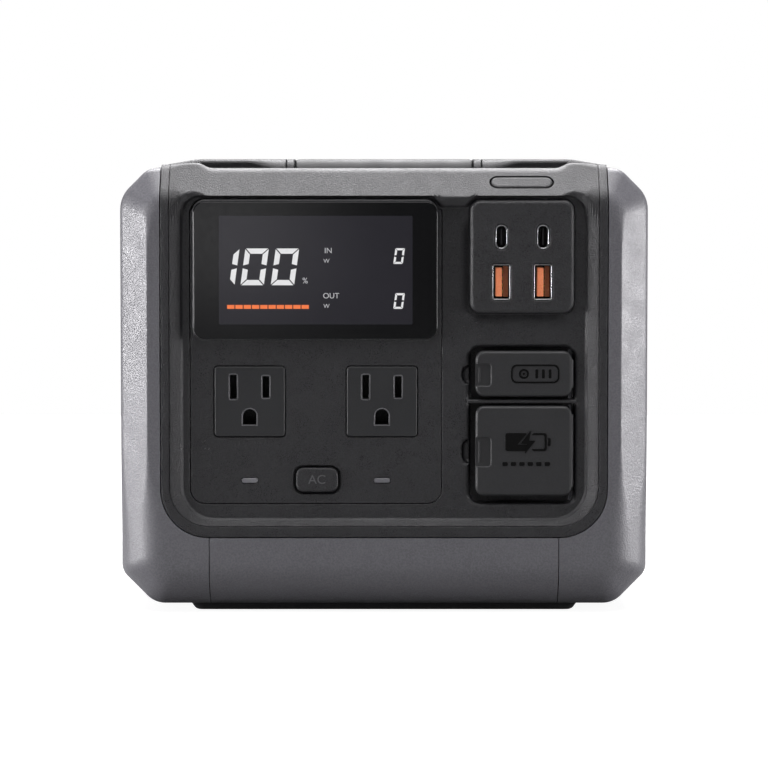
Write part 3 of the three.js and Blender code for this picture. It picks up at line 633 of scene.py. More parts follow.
def band_profile(height, wall):
    """(inset, depth) along the band, from the face round both its edges to the side."""
    lower, upper = 1 - ease(height, *LOWER_FADE), ease(height, *UPPER_FADE)
    edge = EDGE + wall * (math.sqrt(2) - 1)
    points = []
    for which, first in ((0, 0), (1, 45)):
        sharp = SHARP_RADII[which]
        soft = (LOWER_RADII[which] - sharp) * lower + (UPPER_RADII[which] - sharp) * upper
        radius = max(sharp + soft - wall, 0.4)
        far = edge + radius * BEND
        centre = (far, wall + radius) if first == 0 else (wall + radius, far)
        for step in range(BAND_STEPS + 1):
            angle = math.radians(first + 45 * step / BAND_STEPS)
            points.append((centre[0] - radius * math.sin(angle), centre[1] - radius * math.cos(angle)))
    return points


def body_form(name, wall=0.0):
    """The whole body as one closed skin, or its inside at a wall's distance."""
    columns = []
    for station in body_stations():
        column = [(station(inset), depth) for inset, depth in band_profile(station(0).y, wall)]
        front = [(p.x, FRONT + depth, p.y) for p, depth in column]
        rear = [(p.x, BACK - depth, p.y) for p, depth in reversed(column)]
        columns.append(front + rear)
    return skin(name, list(zip(*columns)))


def shell(name, keep):
    """The body's wall, cut down to what the keep tool holds."""
    piece = combine(body_form(name), [body_form("inside", WALL)])
    return combine(piece, [keep], "INTERSECT")


def frame_ring(inset):
    half = FRAME_HALF - inset
    return outline(-half, half, FRAME_BOTTOM + inset, DECK + BEYOND, FRAME_RADIUS - inset, 1, steps=14)


def side_cover(word, side):
    inner, outer = span("front_skirt").x1 + GAP, HALF + BEYOND
    near, far = sorted((side * inner, side * outer))
    cover = shell(f"{word}_cover_shape", block("half", near, far, FRONT - 1, BACK + 1, -1, HEIGHT))
    tools = [prism("mouth", frame_ring(0), FRONT - 1, BACK + 1)]
    for i in range(SIDE_SLOTS):
        y = SIDE_SLOT_START + i * SIDE_SLOT_PITCH
        slot = box_outline(y, SIDE_SLOT_MIDDLE, SLOT_WIDTH, SIDE_SLOT_HEIGHT, SLOT_BEND)
        tools.append(along_x("slot", slot, [(0, side * HALF - 6), (0, side * HALF + 6)]))
    for end in ENDS:
        screw = span(f"base_screw_{end}_{word}")
        hole = round_ring(screw.x, screw.y, (screw.x1 - screw.x0) / 2 + 0.5, 32)
        tools.append(along_z("hole", hole, [(0, BASE - 1), (0, BASE + WALL + 1)]))
    combine(cover, tools)
    add(cover, f"{word}_side_cover", EDGE_ROUND)


def skirt(place, end):
    box = span(f"{place}_skirt")
    near, far = sorted((box.y1 if end < 0 else box.y0, end * (BACK + 1)))
    piece = shell(f"{place}_skirt_shape", block("keep", box.x0, box.x1, near, far, -1, FRAME_BOTTOM))
    add(piece, f"{place}_skirt", EDGE_ROUND)


def crest(x):
    """Height of the deck's front lip: low in the middle, with a rail down each side."""
    return DECK + (HEIGHT - DECK) * ease(abs(x), *LIP_RISE) - RAIL_DROP * ease(abs(x), *RAIL_SLOPE)


def face_curve(along, top, lower_radius, upper_radius):
    """(y, z) at a distance up the face: upright, leaning back at 45 degrees, then level along the deck."""
    start = SLOPE_START - lower_radius * BEND
    lower_arc, upper_arc = lower_radius * math.pi / 4, upper_radius * math.pi / 4
    reach = top - SLOPE_START
    slope = reach * math.sqrt(2) - (lower_radius + upper_radius) * BEND
    if along <= start:
        return FRONT, along
    along -= start
    if along < lower_arc:
        angle = along / lower_radius
        return FRONT + lower_radius * (1 - math.cos(angle)), start + lower_radius * math.sin(angle)
    along -= lower_arc
    if along < slope:
        step = (along + lower_radius * BEND) * DIAGONAL
        return FRONT + step, SLOPE_START + step
    along -= slope
    centre = reach + upper_radius * BEND
    if along < upper_arc:
        angle = math.pi / 4 - along / upper_radius
        return FRONT + centre - upper_radius * math.sin(angle), top - upper_radius * (1 - math.cos(angle))
    return FRONT + centre + along - upper_arc, top


def face_length(top, lower_radius, upper_radius, end):
    """How far up the face it is to the point at y = FRONT + end on the deck."""
    bends = (lower_radius + upper_radius) * (math.pi / 4 - 2 * BEND)
    return SLOPE_START + (top - SLOPE_START) * (math.sqrt(2) - 1) + bends + end


def front_frame():
    """A narrow strip down both sides and along the bottom, which leans back over the top at its ends."""
    end = face_length(FRAME_TOP, *FRAME_ROLL, FRAME_DEPTH - 0.2)
    straight, curved = 40, 18
    sides = ((FRAME_HALF - GAP, FRAME_BOTTOM + GAP, FRAME_RADIUS - GAP),
             (FRAME_INNER_HALF, FRAME_INNER_BOTTOM, FRAME_INNER_RADIUS))
    paths = []
    for half, base, bend in sides:
        path = [(half, end + (base + bend - end) * i / straight) for i in range(straight + 1)]
        for i in range(1, curved + 1):
            angle = math.radians(90 * i / curved)
            path.append((half - bend + bend * math.cos(angle), base + bend - bend * math.sin(angle)))
        paths.append(path + [(-x, along) for x, along in reversed(path)])
    rings = []
    for (ox, oa), (ix, ia) in zip(*paths):
        ring = []
        for share, depth in FRAME_PROFILE:
            x, along = ox + (ix - ox) * share, oa + (ia - oa) * share
            y, z = face_curve(along, FRAME_TOP, *FRAME_ROLL)
            y_next, z_next = face_curve(along + 0.01, FRAME_TOP, *FRAME_ROLL)
            normal = Vector((y_next - y, z_next - z)).normalized()
            ring.append((x, y + normal.y * depth, z - normal.x * depth))
        rings.append(ring)
    add(skin("front_frame_shape", rings), "front_frame")


def rear_panel():
    keep = prism("keep", frame_ring(GAP), BACK - FRAME_DEPTH, BACK + 1)
    piece = shell("rear_panel_shape", keep)
    tools = []
    for fan in ("fan_frame_left", "fan_frame_right"):
        box = span(fan)
        for row in range(-4, 5):
            up = row * GRILLE_PITCH
            half = math.sqrt(GRILLE_RADIUS ** 2 - up ** 2)
            slot = box_outline(box.x, box.z + up, half * 2, SLOT_WIDTH, SLOT_BEND)
            tools.append(prism("slot", slot, BACK - 10, BACK + 1))
    combine(piece, tools)
    add(piece, "rear_panel", EDGE_ROUND)


# ---- control face ----
def edged(ring):
    """The outline's points with more along its straight edges, from the right edge round to the bottom."""
    points = ring()
    corner = len(points) // 4
    made = []
    for i, count in enumerate(BORDER_POINTS):
        made += points[i * corner:(i + 1) * corner]
        x, z = points[(i + 1) * corner - 1]
        next_x, next_z = points[(i + 1) * corner % len(points)]
        for step in range(1, count):
            share = step / count
            made.append((x + (next_x - x) * share, z + (next_z - z) * share))
    return made


def s_curve(share):
    """An even slope, then a steep wall with a hollow foot, as a share of the drop to the floor."""
    slope = min(share / 0.72, 1)
    wall = min(max((share - 0.68) / 0.2, 0), 1)
    return SLOPE_DROP * slope * slope * 1.15 / (slope + 0.15) + (1 - SLOPE_DROP) * math.sin(wall * math.pi / 2)


def between_blocks(x):
    low, high = BLOCK_GAP
    return min(ease(x, low - 3, low + 1.5), 1 - ease(x, high - 1.5, high + 3))


def upper_roll(x):
    """Width of the roll between the leaning band and the floor: tight above the blocks."""
    return TIGHT_ROLL + (WIDE_ROLL - TIGHT_ROLL) * max(between_blocks(x), ease(abs(x), *ROLL_OPENS))


def floor_distance(x, z):
    """How far a point of the face is outside the floor's outline."""
    radius = FLOOR_RADIUS if z < (FLOOR_BOTTOM + FLOOR_TOP) / 2 else FLOOR_UPPER_RADIUS
    over_x = abs(x) - (FLOOR_HALF - radius)
    over_z = max(FLOOR_BOTTOM + radius - z, z - (FLOOR_TOP - radius))
    lowered = GAP_DROP * between_blocks(x) * ease(z, FLOOR_TOP - 14, FLOOR_TOP - 8)
    return math.hypot(max(over_x, 0), max(over_z, 0)) - radius + lowered


def lip_roll(x):
    """Radii of the roll where the border starts to lean and where it levels out on the lip."""
    shares = ease(abs(x), *LIP_SOFTENS), ease(abs(x), *LIP_RISE)
    return [near + (far - near) * share for near, far, share in zip(LIP_ROLL, FRAME_ROLL, shares)]


def bezel_rings():
    """The border's rings, from its rim inwards to the edge of the floor."""
    rim = span("front_bezel")
    outer = edged(outline(rim.x0, rim.x1, rim.z0, SPREAD_START + SPREAD, *RIM_RADII, steps=14))
    floor = edged(outline(-FLOOR_HALF, FLOOR_HALF, FLOOR_BOTTOM, FLOOR_TOP,
                          FLOOR_RADIUS, FLOOR_UPPER_RADIUS, steps=14))
    shares = sorted({i / 60 for i in range(61)} | {0.008} | {0.5 + i / 80 for i in range(41)})
    rings = [[] for _ in range(len(shares) + 1)]
    for (x, z), (floor_x, floor_z) in zip(outer, floor):
        up = (z - SPREAD_START) / SPREAD
        if floor_z > FLOOR_TOP - 0.01:
            floor_z -= GAP_DROP * between_blocks(floor_x)
        for i, share in enumerate(shares):
            here = x + (floor_x - x) * share
            top, radii = crest(here), lip_roll(here)
            stretch = face_length(top, *radii, FRAME_DEPTH - 0.2) - SPREAD_START if up > 0 else SPREAD
            outer_z = SPREAD_START + stretch * up
            along = outer_z + (floor_z - outer_z) * share
            above = ease(along, FLOOR_TOP - 7, FLOOR_TOP - GAP_DROP)
            width = ROLL_WIDTH + (upper_roll(here) - ROLL_WIDTH) * above
            drop = 1 if share == 1 else s_curve(min(max(1 - floor_distance(here, along) / width, 0), 1))
            y, z = face_curve(along, top, *radii)
            rim_drop = 0.3 if share == 0 and up < 0.9 else 0
            rings[i + 1].append((here, y + (FRONT + RECESS - y) * drop + rim_drop, z + (along - z) * drop))
        first = rings[1][-1]
        rings[0].append((first[0], FRONT + FRAME_DEPTH, first[2]))
    return rings


def front_bezel():
    """The turned-in border of the control face, the band above it, its floor, and the port pocket."""
    piece = skin("front_bezel_shape", bezel_rings())
    floor, pocket_floor = FRONT + RECESS, FRONT + POCKET_DEPTH
    end = pocket_floor + 2
    x0, x1 = POCKET_BOX[:2]
    usb, main = span("usb_panel"), span("main_panel")
    main_ring = outline(main.x0 - GAP, main.x1 + GAP, main.z0 - GAP, PLATE_TOP + GAP, 6, 1)
    block_ring = outline(main.x0, BLOCK_END + GAP, 106, main.z1 + GAP, 5, steps=9)
    dip_ring = outline(usb.x0 - 5.6, usb.x1 + 1.4, usb.z0 - 5.6, PLATE_TOP - 0.4, 9, steps=9)
    combine(piece, [
        stack("usb_dip", dip_ring, [(grow, floor + y) for grow, y in USB_DIP]),
        stack("main_hole", main_ring, hollow(floor, end, 0.25)),
        prism("block_hole", block_ring, FRONT - 2, end),
        prism("usb_hole", outline(*rect(usb, GAP), 4.8), FRONT - 2, end),
        stack("pocket", outline(*POCKET_BOX, 4), hollow(floor, pocket_floor, 1.6, 1.0)),
    ])
    bridge = outline(x0 - 1, x1 + 1, *BRIDGE, 0.4)
    combine(piece, [stack("bridge", bridge, raised(FRONT + 2.7, end - 1.5, 0.5))], "UNION")
    tools = [power_button_form("button_hole", BUTTON_HOLE)]
    for port, size in PORT_HOLES.items():
        box = span(port)
        tools.append(prism("port_hole", box_outline(box.x, box.z, *size, 2), FRONT + 5, FRONT + 20))
    for low, high in FLAP_TABS.values():
        reach = (high - low) * 0.4
        middle = (low + high) / 2
        scoop = outline(30.8, x0 + 3, middle - reach, middle + reach, 3.2)
        tools.append(stack("scoop", scoop, hollow(floor, FRONT + 5.4, 2.1, 1.4)))
    combine(piece, tools)
    add(piece, "front_bezel")


def power_button_form(name, levels):
    """A stadium on the leaning band; levels are (grow, depth below the band)."""
    ring = box_outline(BUTTON_X, 0, BUTTON_WIDTH, BUTTON_HEIGHT, BUTTON_HEIGHT / 2, steps=10)
    y, z = FRONT + BUTTON_UP, SLOPE_START + BUTTON_UP
    return skin(name, [[(x, y + (depth + up) * DIAGONAL, z + (up - depth) * DIAGONAL) for x, up in ring(grow)]
                       for grow, depth in levels])


def ac_cap():
    """The AC button's box, and the width and height of its cap."""
    box = span("ac_button")
    return box, box.x1 - box.x0 - AC_TRIM[0], box.z1 - box.z0 - AC_TRIM[1]


def main_panel():
    """The plate with the display block and the openings for the outlets, the button and the lights."""
    box = span("main_panel")
    face, block_face = FRONT + RECESS, FRONT + 0.2
    plate_ring = outline(box.x0, box.x1, box.z0, PLATE_TOP, 5.7, 1, steps=9)
    piece = stack("main_panel_shape", plate_ring, raised(face, box.y1, 0.25))
    block_ring = outline(box.x0 + 0.9, BLOCK_END, BLOCK_BOTTOM, box.z1, 5, steps=9)
    combine(piece, [stack("display_block", block_ring, raised(block_face, box.y1 - 0.5, 0.5))], "UNION")
    button, wide, tall = ac_cap()
    holes = [(box_outline(button.x, button.z, wide + 1.8, tall + 1.7, 3.6), 0.45)]
    for word in SIDES:
        holes.append((outline(*rect(span(f"outlet_{word}"), 0.35), 1.6), 0.3))
        holes.append((outline(*rect(span(f"light_pipe_{word}"), 0.25), 1.2), 0.2))
    tools = [stack("hole", ring, hollow(face, FRONT + 8, lip)) for ring, lip in holes]
    seat = outline(*rect(span("lcd_lens"), 0.6), 4.5, steps=9)
    tools.append(stack("lens_seat", seat, hollow(block_face, FRONT + 2.2, 0.12)))
    tools.append(prism("window", outline(*rect(span("lcd_module"), GAP), 1), FRONT, FRONT + 8))
    combine(piece, tools)
    add(piece, "main_panel")


def usb_panel():
    box = span("usb_panel")
    piece = stack("usb_panel_shape", outline(*rect(box), 4.5, steps=9), raised(box.y0, box.y1, 1.9, 9))
    tools = []
    for word in SIDES:
        for kind, corner in (("usb_c", 2.7), ("usb_a", 1.1)):
            hole = outline(*rect(span(f"{kind}_{word}"), 0.25), corner)
            tools.append(stack("port_hole", hole, hollow(box.y0, box.y1 + 2, 0.3)))
    combine(piece, tools)
    add(piece, "usb_panel")


def plate(node, radius, rounding, grow=0.0, steps=7):
    """A flat part as large as its node's box, or a little larger, with a rounded front edge."""
    box = span(node)
    ring = outline(*rect(box, grow), radius, steps=steps)
    return stack(f"{node}_shape", ring, raised(box.y0, box.y1, rounding))


def detail(name, ring, front, back, rounding, node, **how):
    """A small extra piece with a rounded front edge."""
    add(stack(name, ring, raised(front, back, rounding)), node, extra=True, **how)


def outlet(word):
    """The receptacle's face, with a thin raised rim round each blade slot and round the ground hole, coloured
    lighter grey as a painted highlight of the slot edges.
    """
    node = f"outlet_{word}"
    box = span(node)
    live, neutral = [box_outline(box.x + x, box.z + 5.7, 2.6, height, 0.3, steps=2)
                     for x, height in OUTLET_SLOTS]

    def ground(grow=0.0):
        arch = [math.pi * step / 12 for step in range(13)]
        reach, low = 2.6 + grow, box.z - 9 - grow
        return [(box.x - reach, low), (box.x + reach, low)] + [
            (box.x + reach * math.cos(a), box.z - 5.6 + reach * math.sin(a)) for a in arch]

    holes = {"live": live, "neutral": neutral, "ground": ground}
    tools = [stack("slot", hole, hollow(box.y0, box.y0 + OUTLET_DEPTH, 0.25)) for hole in holes.values()]
    add(combine(plate(node, 1.3, 0.4), tools), node)
    for name, hole in holes.items():
        rim = stack(f"{node}_{name}_rim", lambda grow, hole=hole: hole(0.55 + grow),
                    raised(box.y0 - 0.12, box.y0 + 0.5, 0.1, 3))
        combine(rim, [stack("open", hole, [(0.1, box.y0 - 1), (0.1, box.y0 + 1)])])
        # painted highlight: the rim's lighter grey stands in for light caught by the slot's edge
        add(rim, node, material="rim_grey", extra=True)


def ac_button():
    box, wide, tall = ac_cap()
    ring = box_outline(box.x, box.z, wide, tall, 2.8, steps=9)
    flange = box.y1 - 1.2
    levels = [(-2.6, box.y0 + 0.16), (-1.8, box.y0 + 0.05)] + raised(box.y0, flange, 0.8)[1:]
    add(stack("ac_button_shape", ring, levels + [(1.2, flange), (1.2, box.y1)]), "ac_button")
    label("ac_mark", "AC", box.x, box.z, 5.0, box.y0 + 0.13, "mark_grey", "ac_button")


def usb_socket(kind, word):
    """A metal shell with its rolled lip, and the tongue that carries the contacts."""
    node = f"{kind}_{word}"
    box = span(node)
    x, z, front, deep = box.x, box.z, box.y0, box.y0 + SOCKET_DEPTH
    radius, wall, inner_radius, steps = USB_SHELLS[kind]
    piece = plate(node, radius, 0.35, steps=steps)
    hole = outline(*rect(box, -wall), inner_radius, steps=steps)
    combine(piece, [stack("hole", hole, hollow(front, deep, 0.2))])
    add(piece, node, slot="steel")
    # Painted shade: the steel shell's inside, deeper than 0.7 mm behind its front, takes the black socket
    # plastic so that the hole looks as dark as its shade.
    piece.data.materials.append(MATERIALS["socket_black"])
    for polygon in piece.data.polygons:
        if polygon.center.y > (front + 0.7) * MM:
            polygon.material_index = 1
    tongue = f"{node}_tongue"
    if kind == "usb_c":
        detail(tongue, box_outline(x, z, 0.7, 6.4, 0.3), front + 1.1, deep + 1, 0.25, node,
               slot="socket_black")
        return
    detail(tongue, outline(x - 2.3, x + 0.3, z - 5.7, z + 5.7, 0.3), front + 0.7, deep + 1, 0.3, node)
    detail(f"{node}_lining", outline(x + 0.8, x + 2.8, z - 6, z + 6, 0.3), front + 5.5, deep + 1, 0.2, node)
    for i in range(4):
        up = z + (i - 1.5) * 2.6
        detail(f"{node}_contact_{i + 1}", outline(x + 0.3, x + 0.75, up - 0.6, up + 0.6, 0.1),
               front + 1.6, deep, 0.1, node, material="brass", slot="steel")


# ---- flaps and ports ----
def port_flap(node):
    """A rubber cover: soft-edged plate, sunk pull tab, plug behind it, and its hinge barrel."""
    box, pin = span(node), span("dc_hinge_pin")
    low, high = FLAP_TABS[node]
    back = FRONT + 4.2
    plate_ring = outline(box.x0, pin.x + 0.9, box.z0, box.z1, 3.5, steps=9)
    piece = stack(f"{node}_shape", plate_ring, raised(box.y0, back, 1.4, 8))
    tab = outline(box.x0 - 3, TAB_END, low, high, 1.2)
    combine(piece, [stack("tab", tab, hollow(box.y0, box.y0 + 0.8, 0.4, 0.3))])
    reach = (box.z1 - box.z0) * 0.2
    bung = outline(44, 64, box.z - reach, box.z + reach, 2)
    plug = stack("bung", bung, [(0, back - 0.6), (0, box.y1 - 1), (-0.3, box.y1 - 0.4), (-1, box.y1)])
    tube = along_z("tube", round_ring(pin.x, pin.y, 1.5, 28), [(0, box.z0 + 3.5), (0, box.z1 - 3.5)])
    combine(piece, [plug, tube], "UNION")
    combine(piece, [along_z("bore", round_ring(pin.x, pin.y, 0.95, 20), [(0, box.z0 - 1), (0, box.z1 + 1)])])
    add(piece, node, 0.15, 50)
    rib = outline(box.x0 + 1.2, box.x0 + 1.9, low + 1.6, high - 1.6, 0.3)
    detail(f"{node}_rib", rib, box.y0 + 0.4, box.y0 + 1.0, 0.25, node)


def mark(name, ring, node, hole=None):
    """A low raised mark on a flap, with an optional open middle."""
    front = span(node).y0 - 0.2
    piece = stack(name, ring, raised(front, front + 0.5, 0.12, 3))
    if hole:
        combine(piece, [stack("open", hole, [(0, front - 1), (0, front + 1)])])
    add(piece, node, material="mark_gloss", extra=True)


def polygon_ring(points):
    return lambda grow=0.0: points


def dc_marks():
    """A round plug and three bars in a frame."""
    node, x, z = "dc_flap", 59.0, span("dc_flap").z
    plug_x = x - 4.4
    mark("dc_mark_frame", box_outline(x, z, 19, 7.4, 2.4), node, box_outline(x, z, 17.6, 6.0, 1.8))
    mark("dc_mark_ring", round_ring(plug_x, z, 2.0, 28), node, round_ring(plug_x, z, 1.2, 28))
    mark("dc_mark_pin", round_ring(plug_x, z, 0.5, 16), node)
    for i in range(3):
        mark(f"dc_mark_bar_{i + 1}", box_outline(x + 0.6 + i * 2.6, z, 1.2, 3.6, 0.4), node)


def charge_marks():
    """A battery with a bolt across it, over a row of bars."""
    node, x, z = "charge_flap", 55.5, span("charge_flap").z + 3.5
    low, high = z - 3.6, z + 3.6
    mark("charge_mark_case", outline(x + 2.2, x + 8.2, low, high, 1.2), node,
         outline(x + 1.2, x + 7.2, low + 0.9, high - 0.9, 0.7))
    mark("charge_mark_pole", outline(x + 8.5, x + 9.6, z - 1.6, z + 1.6, 0.4), node)
    bolt = ((-0.6, -4.8), (3.7, 0.6), (1.2, 0.6), (2.0, 4.8), (-2.3, -0.7), (0.3, -0.7))
    clear = polygon_ring([(x + px * 1.45, z + pz * 1.3) for px, pz in bolt])
    mark("charge_mark_cell", outline(x - 8.2, x + 0.6, low, high, 1.2), node, clear)
    mark("charge_mark_bolt", polygon_ring([(x + px, z + pz) for px, pz in bolt]), node)
    for i in range(6):
        mark(f"charge_mark_bar_{i + 1}", box_outline(x - 8.2 + i * 3.3, z - 8.6, 2.2, 1.6, 0.5), node)


def port_socket(node, body, cavity, pins):
    """A flanged socket; body and cavity are sizes, pins are (x, z, width, height) from its middle."""
    box = span(node)
    piece = stack(f"{node}_shape", outline(*rect(box), 2.5), raised(box.y0, box.y0 + 2.1, 0.5))
    combine(piece, [prism("trunk", box_outline(box.x, box.z, *body, 1.5), box.y0 + 1, box.y1)], "UNION")
    well = box_outline(box.x, box.z, *cavity, 1.5)
    combine(piece, [stack("well", well, hollow(box.y0, box.y0 + 15, 0.4, 0.6))])
    add(piece, node, 0.1)
    for i, (x, up, wide, tall) in enumerate(pins):
        ring = box_outline(box.x + x, box.z + up, wide, tall, min(wide, tall) * 0.3)
        detail(f"{node}_pin_{i + 1}", ring, box.y0 + 4.7, box.y0 + 15.3, 0.6, node,
               material="brass", slot="steel")


# ---- display ----
def flat(name, points, front, material):
    piece = stack(name, polygon_ring(points), [(0, front), (0, front + SHEET)])
    dress(piece, "lcd_lens", material, extra=True)


def digit(name, figure, x, z, width, height, stroke, front):
    """One slanted seven-segment figure, its lower left corner at x and z."""
    gap = stroke * 0.14
    mid = height / 2
    bars = {
        "a": [(gap, height), (width - gap, height),
              (width - stroke - gap, height - stroke), (stroke + gap, height - stroke)],
        "f": [(0, height - gap), (stroke, height - stroke - gap),
              (stroke, mid + stroke * 0.55), (0, mid + gap * 2)],
    }
    bars["d"] = [(px, height - pz) for px, pz in bars["a"]]
    bars["e"] = [(px, height - pz) for px, pz in bars["f"]]
    bars["b"] = [(width - px, pz) for px, pz in bars["f"]]
    bars["c"] = [(width - px, pz) for px, pz in bars["e"]]
    for letter in SEGMENTS[figure]:
        slanted = [(x + px + pz * SLANT, z + pz) for px, pz in bars[letter]]
        flat(f"{name}_{letter}", slanted, front, "segment_white")


def label(name, words, x, z, size, front, material="label_white", node="lcd_lens"):
    """Plain generic lettering, centred on x and z."""
    curve = bpy.data.curves.new(name, "FONT")
    curve.body = words
    curve.size = size * MM
    curve.align_x = "CENTER"
    curve.align_y = "CENTER"
    curve.extrude = 0.02 * MM
    text = new_object(name + "_text", curve)
    text.rotation_euler = (math.pi / 2, 0, 0)
    text.location = Vector((x, front, z)) * MM
    bpy.context.view_layer.update()
    mesh = solid_mesh(text)
    mesh.transform(text.matrix_world)
    bpy.data.objects.remove(text)
    dress(new_object(name, mesh), node, material, extra=True)


def display():
    """The lit sheet with its figures, row of bars and captions, just in front of the lens."""
    glass = span("lcd_lens").y0
    face = stack("display_face_sheet", outline(*DISPLAY, 0.4), [(0, glass - SHEET), (0, glass + 0.2)])
    dress(face, "lcd_lens", "display_face", extra=True)
    front = glass - 0.07
    for i, (figure, x) in enumerate((("1", -67.3), ("0", -55.9), ("0", -44.1))):
        digit(f"charge_digit_{i + 1}", figure, x, 129.3, 9.1, 14.3, 2.05, front)
    for i, low in enumerate((137.6, 120.1)):
        digit(f"watt_digit_{i + 1}", "0", 3.6, low, 3.7, 6.1, 0.8, front)
    for i in range(10):
        left = DISPLAY[0] + 3.2 + i * 3.22
        right = left + 2.85
        bar = [(left, 120.1), (right, 120.1), (right, 121.6), (left, 121.6)]
        flat(f"charge_bar_{i + 1}", bar, front, "segment_orange")
    label("percent_sign", "%", -30.7, 131.0, 3.2, front)
    for name, words, centre, z in (("in", "IN", -21.7, 142.7), ("out", "OUT", -20.6, 125.1)):
        label(f"{name}_label", words, centre, z, 3.0, front)
        label(f"{name}_unit", "W", -22.4, z - 4.0, 2.3, front)


# ---- top, handle and base ----
def deck_height(x, y, reach):
    """The deck behind the front lip: a shallow tray between two rails, its front corners rounded."""
    open_out = ease(reach + y, 0, 22)
    rail = ease(abs(x), LIP_RISE[0] + 7.5 * open_out, LIP_RISE[1] + 5.5 * open_out)
    outside = ease(abs(x), RAIL_SLOPE[0] + 5 * open_out, RAIL_SLOPE[1] + 2 * open_out)
    dip = 1.7 * (1 - rail) * ease(reach + y, 0, 12)
    fall = 0.2 * open_out + 1.3 * ease(y, 20, 120)
    height = (HEIGHT - fall - DECK) * rail - RAIL_DROP * outside - dip
    return DECK + height * ease(reach - y, 0, 14)


def bowl(name, grow, mouth):
    """A tool in the form of the hand well, whose walls curve up from its floor."""
    depth = WELL_TOP - WELL_FLOOR
    levels = []
    for step in range(9):
        share = step / 8
        shrink = 11 * (1 - math.sin(share * math.pi / 2) ** 0.6)
        levels.append((grow - shrink, WELL_FLOOR - grow + depth * share ** 1.25 * (1 + grow / depth)))
    return along_z(name, outline(*WELL, steps=10), levels + mouth)


def top_shell():
    """The deck with its rails, and the hand well under the handle."""
    box = span("top_shell")
    reach = box.y1
    columns = [box.x0 + (box.x1 - box.x0) * i / 160 for i in range(161)]
    ramp = {sign * (reach - i) for i in range(15) for sign in (-1, 1)}
    middle = {sign * y for y in ROWS for sign in (-1, 1)}
    rings = []
    for y in sorted(ramp | middle, reverse=True):
        top = [(x, y, deck_height(x, y, reach)) for x in reversed(columns)]
        rings.append([(box.x0, y, DECK - DECK_PLATE), (box.x1, y, DECK - DECK_PLATE)] + top)
    piece = skin("top_shell_shape", rings)
    combine(piece, [bowl("wall", WALL, [(WALL, 172.2)])], "UNION")
    combine(piece, [bowl("space", 0, WELL_LIP)])
    add(piece, "top_shell")


def section(half_y, low, high, lower, upper):
    return outline(-half_y, half_y, low, high, lower, upper, 8)


def handle_arm(word, side):
    """From the collar outwards the bar grows deeper underneath until it sinks into the deck."""
    bar, under = span("handle_bar"), span("handle_grip").z0
    start, top = span("grip_collar_right").x1 + GAP, bar.z1
    rings = []
    for i in range(37):
        x = start + (ARM_END - start) * i / 36
        arch = 1 - math.sqrt(max(1 - ease(x, 50, 66.5) ** 1.7, 0))
        low = under + (ARM_SINKS_TO - under) * arch + 3.4 * ease(x, 74.5, ARM_END)
        lower = min(8 - 5 * ease(x, 42, 60), (top - low) * 0.45)
        upper = min(6 - 4.4 * ease(x, 43, 58), (top - low) * 0.45)
        rings.append([(side * x, y, z) for y, z in section(bar.y1, low, top, lower, upper)()])
    add(skin(f"handle_arm_{word}", rings), "handle_bar", extra=word != "left")


def sleeve(node, radii, ends):
    """A sleeve round the handle; ends are the (grow, distance inwards) levels of each end."""
    box = span(node)
    levels = [(grow, box.x0 + x) for grow, x in ends] + [(grow, box.x1 - x) for grow, x in reversed(ends)]
    add(along_x(f"{node}_shape", section(box.y1, box.z0, box.z1, *radii), levels), node)


def handle():
    for word, side in SIDES.items():
        handle_arm(word, side)
    core = along_x("handle_core", outline(-12.5, 12.5, 159, 173.5, 1.2), [(0, -42.4), (0, 42.4)])
    add(core, "handle_bar", 0.3, extra=True)
    sleeve("handle_grip", (8, 6), ((-0.9, 0), (-0.35, 0.25), (0, 0.9)))
    for word in SIDES:
        sleeve(f"grip_collar_{word}", (7.4, 5.4), ((-0.5, 0), (0, 0.5)))


def foot(place, end):
    """A long rubber foot with slanted round ends and a row of grooves underneath."""
    box = span(f"{place}_foot")
    y0, y1 = box.y0 + FOOT_AHEAD * end, box.y1 + FOOT_AHEAD * end
    slope = (box.x1 - FOOT_TOE) / (box.z1 - box.z0)
    bevels = {0: 0.8, 0.25: 0.3}
    levels = [((z - box.z1) * slope - bevels.get(z, 0), z) for z in (0, 0.25, 0.8, box.z1 - 0.5, box.z1)]
    piece = along_z(f"{place}_foot_shape", outline(box.x0, box.x1, y0, y1, 6, steps=8), levels)
    tools = []
    for i in range(FOOT_GROOVES):
        x = (i - (FOOT_GROOVES - 1) / 2) * 6
        groove = outline(x - 0.8, x + 0.8, y0 + 5, y1 - 5, 0.7, steps=3)
        tools.append(along_z("groove", groove, [(0, -1), (0, 0.9)]))
    combine(piece, tools)
    add(piece, f"{place}_foot")


# ---- carried-over CAD nodes ----
def carry_over():
    """Every CAD node still shown gets its material and small rounded edges."""
    for name, node in frame["nodes"].items():
        if node.hide_render:
            continue
        node.data.materials.clear()
        node.data.materials.append(MATERIALS["dark_steel" if name.endswith("hinge_pin") else SLOT_OF[name]])
        node.modifiers.new("weld", "WELD").merge_threshold = 0.01 * MM
        bevel(node, 0.3).harden_normals = True


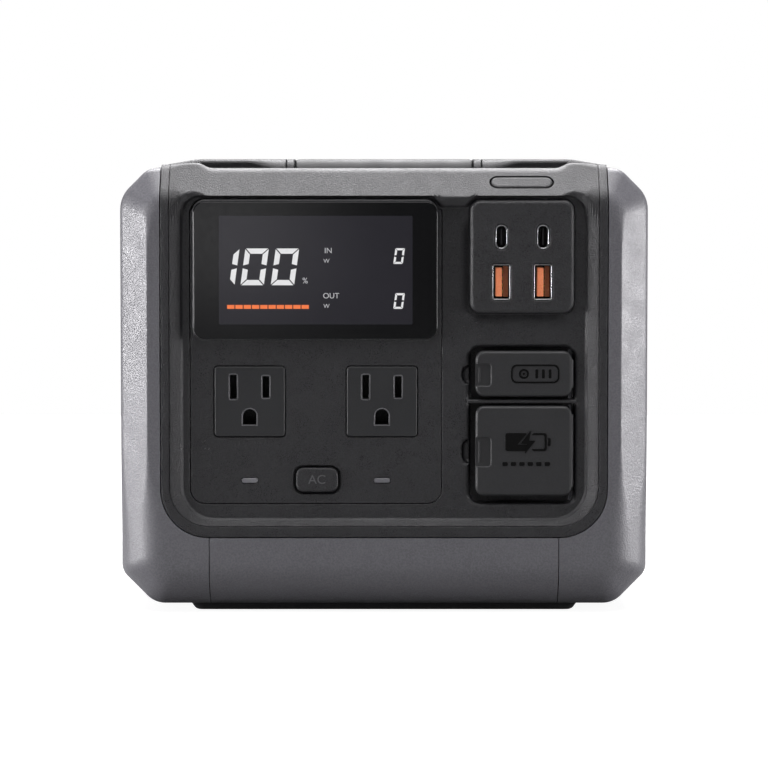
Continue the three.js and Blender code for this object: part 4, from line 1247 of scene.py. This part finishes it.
# ---- floor, lights and camera ----
def backdrop():
    """A grey floor that looks white to the camera, and a world that does too."""
    paper = Finish("floor_paper")
    tone = paper.blend(paper.span(paper.noise(3), 0, 1), *FLOOR_GREYS)
    unseen = paper.node("ShaderNodeBsdfDiffuse", {"Color": tone}).outputs[0]
    glow = paper.node("ShaderNodeEmission", {"Color": WHITE, "Strength": 0.9}).outputs[0]
    seen = paper.node("ShaderNodeAddShader", {0: unseen, 1: glow}).outputs[0]
    paper.node("ShaderNodeOutputMaterial", {"Surface": paper.by_view(seen, unseen)})
    x, near, far = FLOOR_REACH
    ground = make("floor", [(-x, near, 0), (x, near, 0), (x, far, 0), (-x, far, 0)], [(0, 1, 2, 3)])
    ground.data.materials.append(paper.owner)
    world = Nodes(bpy.data.worlds.new("studio"))
    seen, unseen = [world.node("ShaderNodeBackground", {"Color": WHITE, "Strength": strength}).outputs[0]
                    for strength in (1, 0.07)]
    world.node("ShaderNodeOutputWorld", {"Surface": world.by_view(seen, unseen)})
    bpy.context.scene.world = world.owner
    bpy.context.scene.view_settings.view_transform = "Standard"


def lamps():
    centre = (CAD_BOUNDS[0] + CAD_BOUNDS[1]) / 2
    for name, (position, size, power) in LAMPS.items():
        light = bpy.data.lights.new(name, "AREA")
        light.shape = "ELLIPSE"
        light.size, light.size_y = size
        light.energy = power
        light.color = LAMP_COLOUR
        lamp = new_object(name, light)
        lamp.location = position
        lamp.rotation_euler = (centre - lamp.location).to_track_quat("-Z", "Y").to_euler()


def camera():
    data = bpy.data.cameras.new("camera")
    data.lens = LENS
    data.sensor_width = SENSOR
    data.clip_end = 50
    eye = new_object("camera", data)
    eye.location = (0, FRONT * MM - CAMERA_BACK, CAMERA_HEIGHT)
    eye.rotation_euler = (math.radians(90 - CAMERA_TILT), 0, 0)
    bpy.context.scene.camera = eye


# ---- assembly ----
for side_word, side_sign in SIDES.items():
    side_cover(side_word, side_sign)
for end_word, end_sign in ENDS.items():
    skirt(end_word, end_sign)
    foot(end_word, end_sign)
front_frame()
rear_panel()
front_bezel()
main_panel()
usb_panel()
add(plate("lcd_lens", 4.4, 0.25, 0.5, steps=9), "lcd_lens")
for side_word in SIDES:
    outlet(side_word)
    add(plate(f"light_pipe_{side_word}", 0.9, 0.35), f"light_pipe_{side_word}")
    usb_socket("usb_c", side_word)
    usb_socket("usb_a", side_word)
ac_button()
add(power_button_form("power_button_shape", BUTTON_FORM), "power_button")
for flap in FLAP_TABS:
    port_flap(flap)
dc_marks()
charge_marks()
port_socket("dc_port", (24, 10.6), (20, 7.2), [(-5, 0, 3.2, 3.2), (5, 0, 3.2, 3.2)])
port_socket("ac_inlet", (26.6, 19.6), (24, 16.4), [(0, 2, 2, 4), (-7, -2, 2, 4), (7, -2, 2, 4)])
display()
top_shell()
handle()
carry_over()
backdrop()
lamps()
camera()
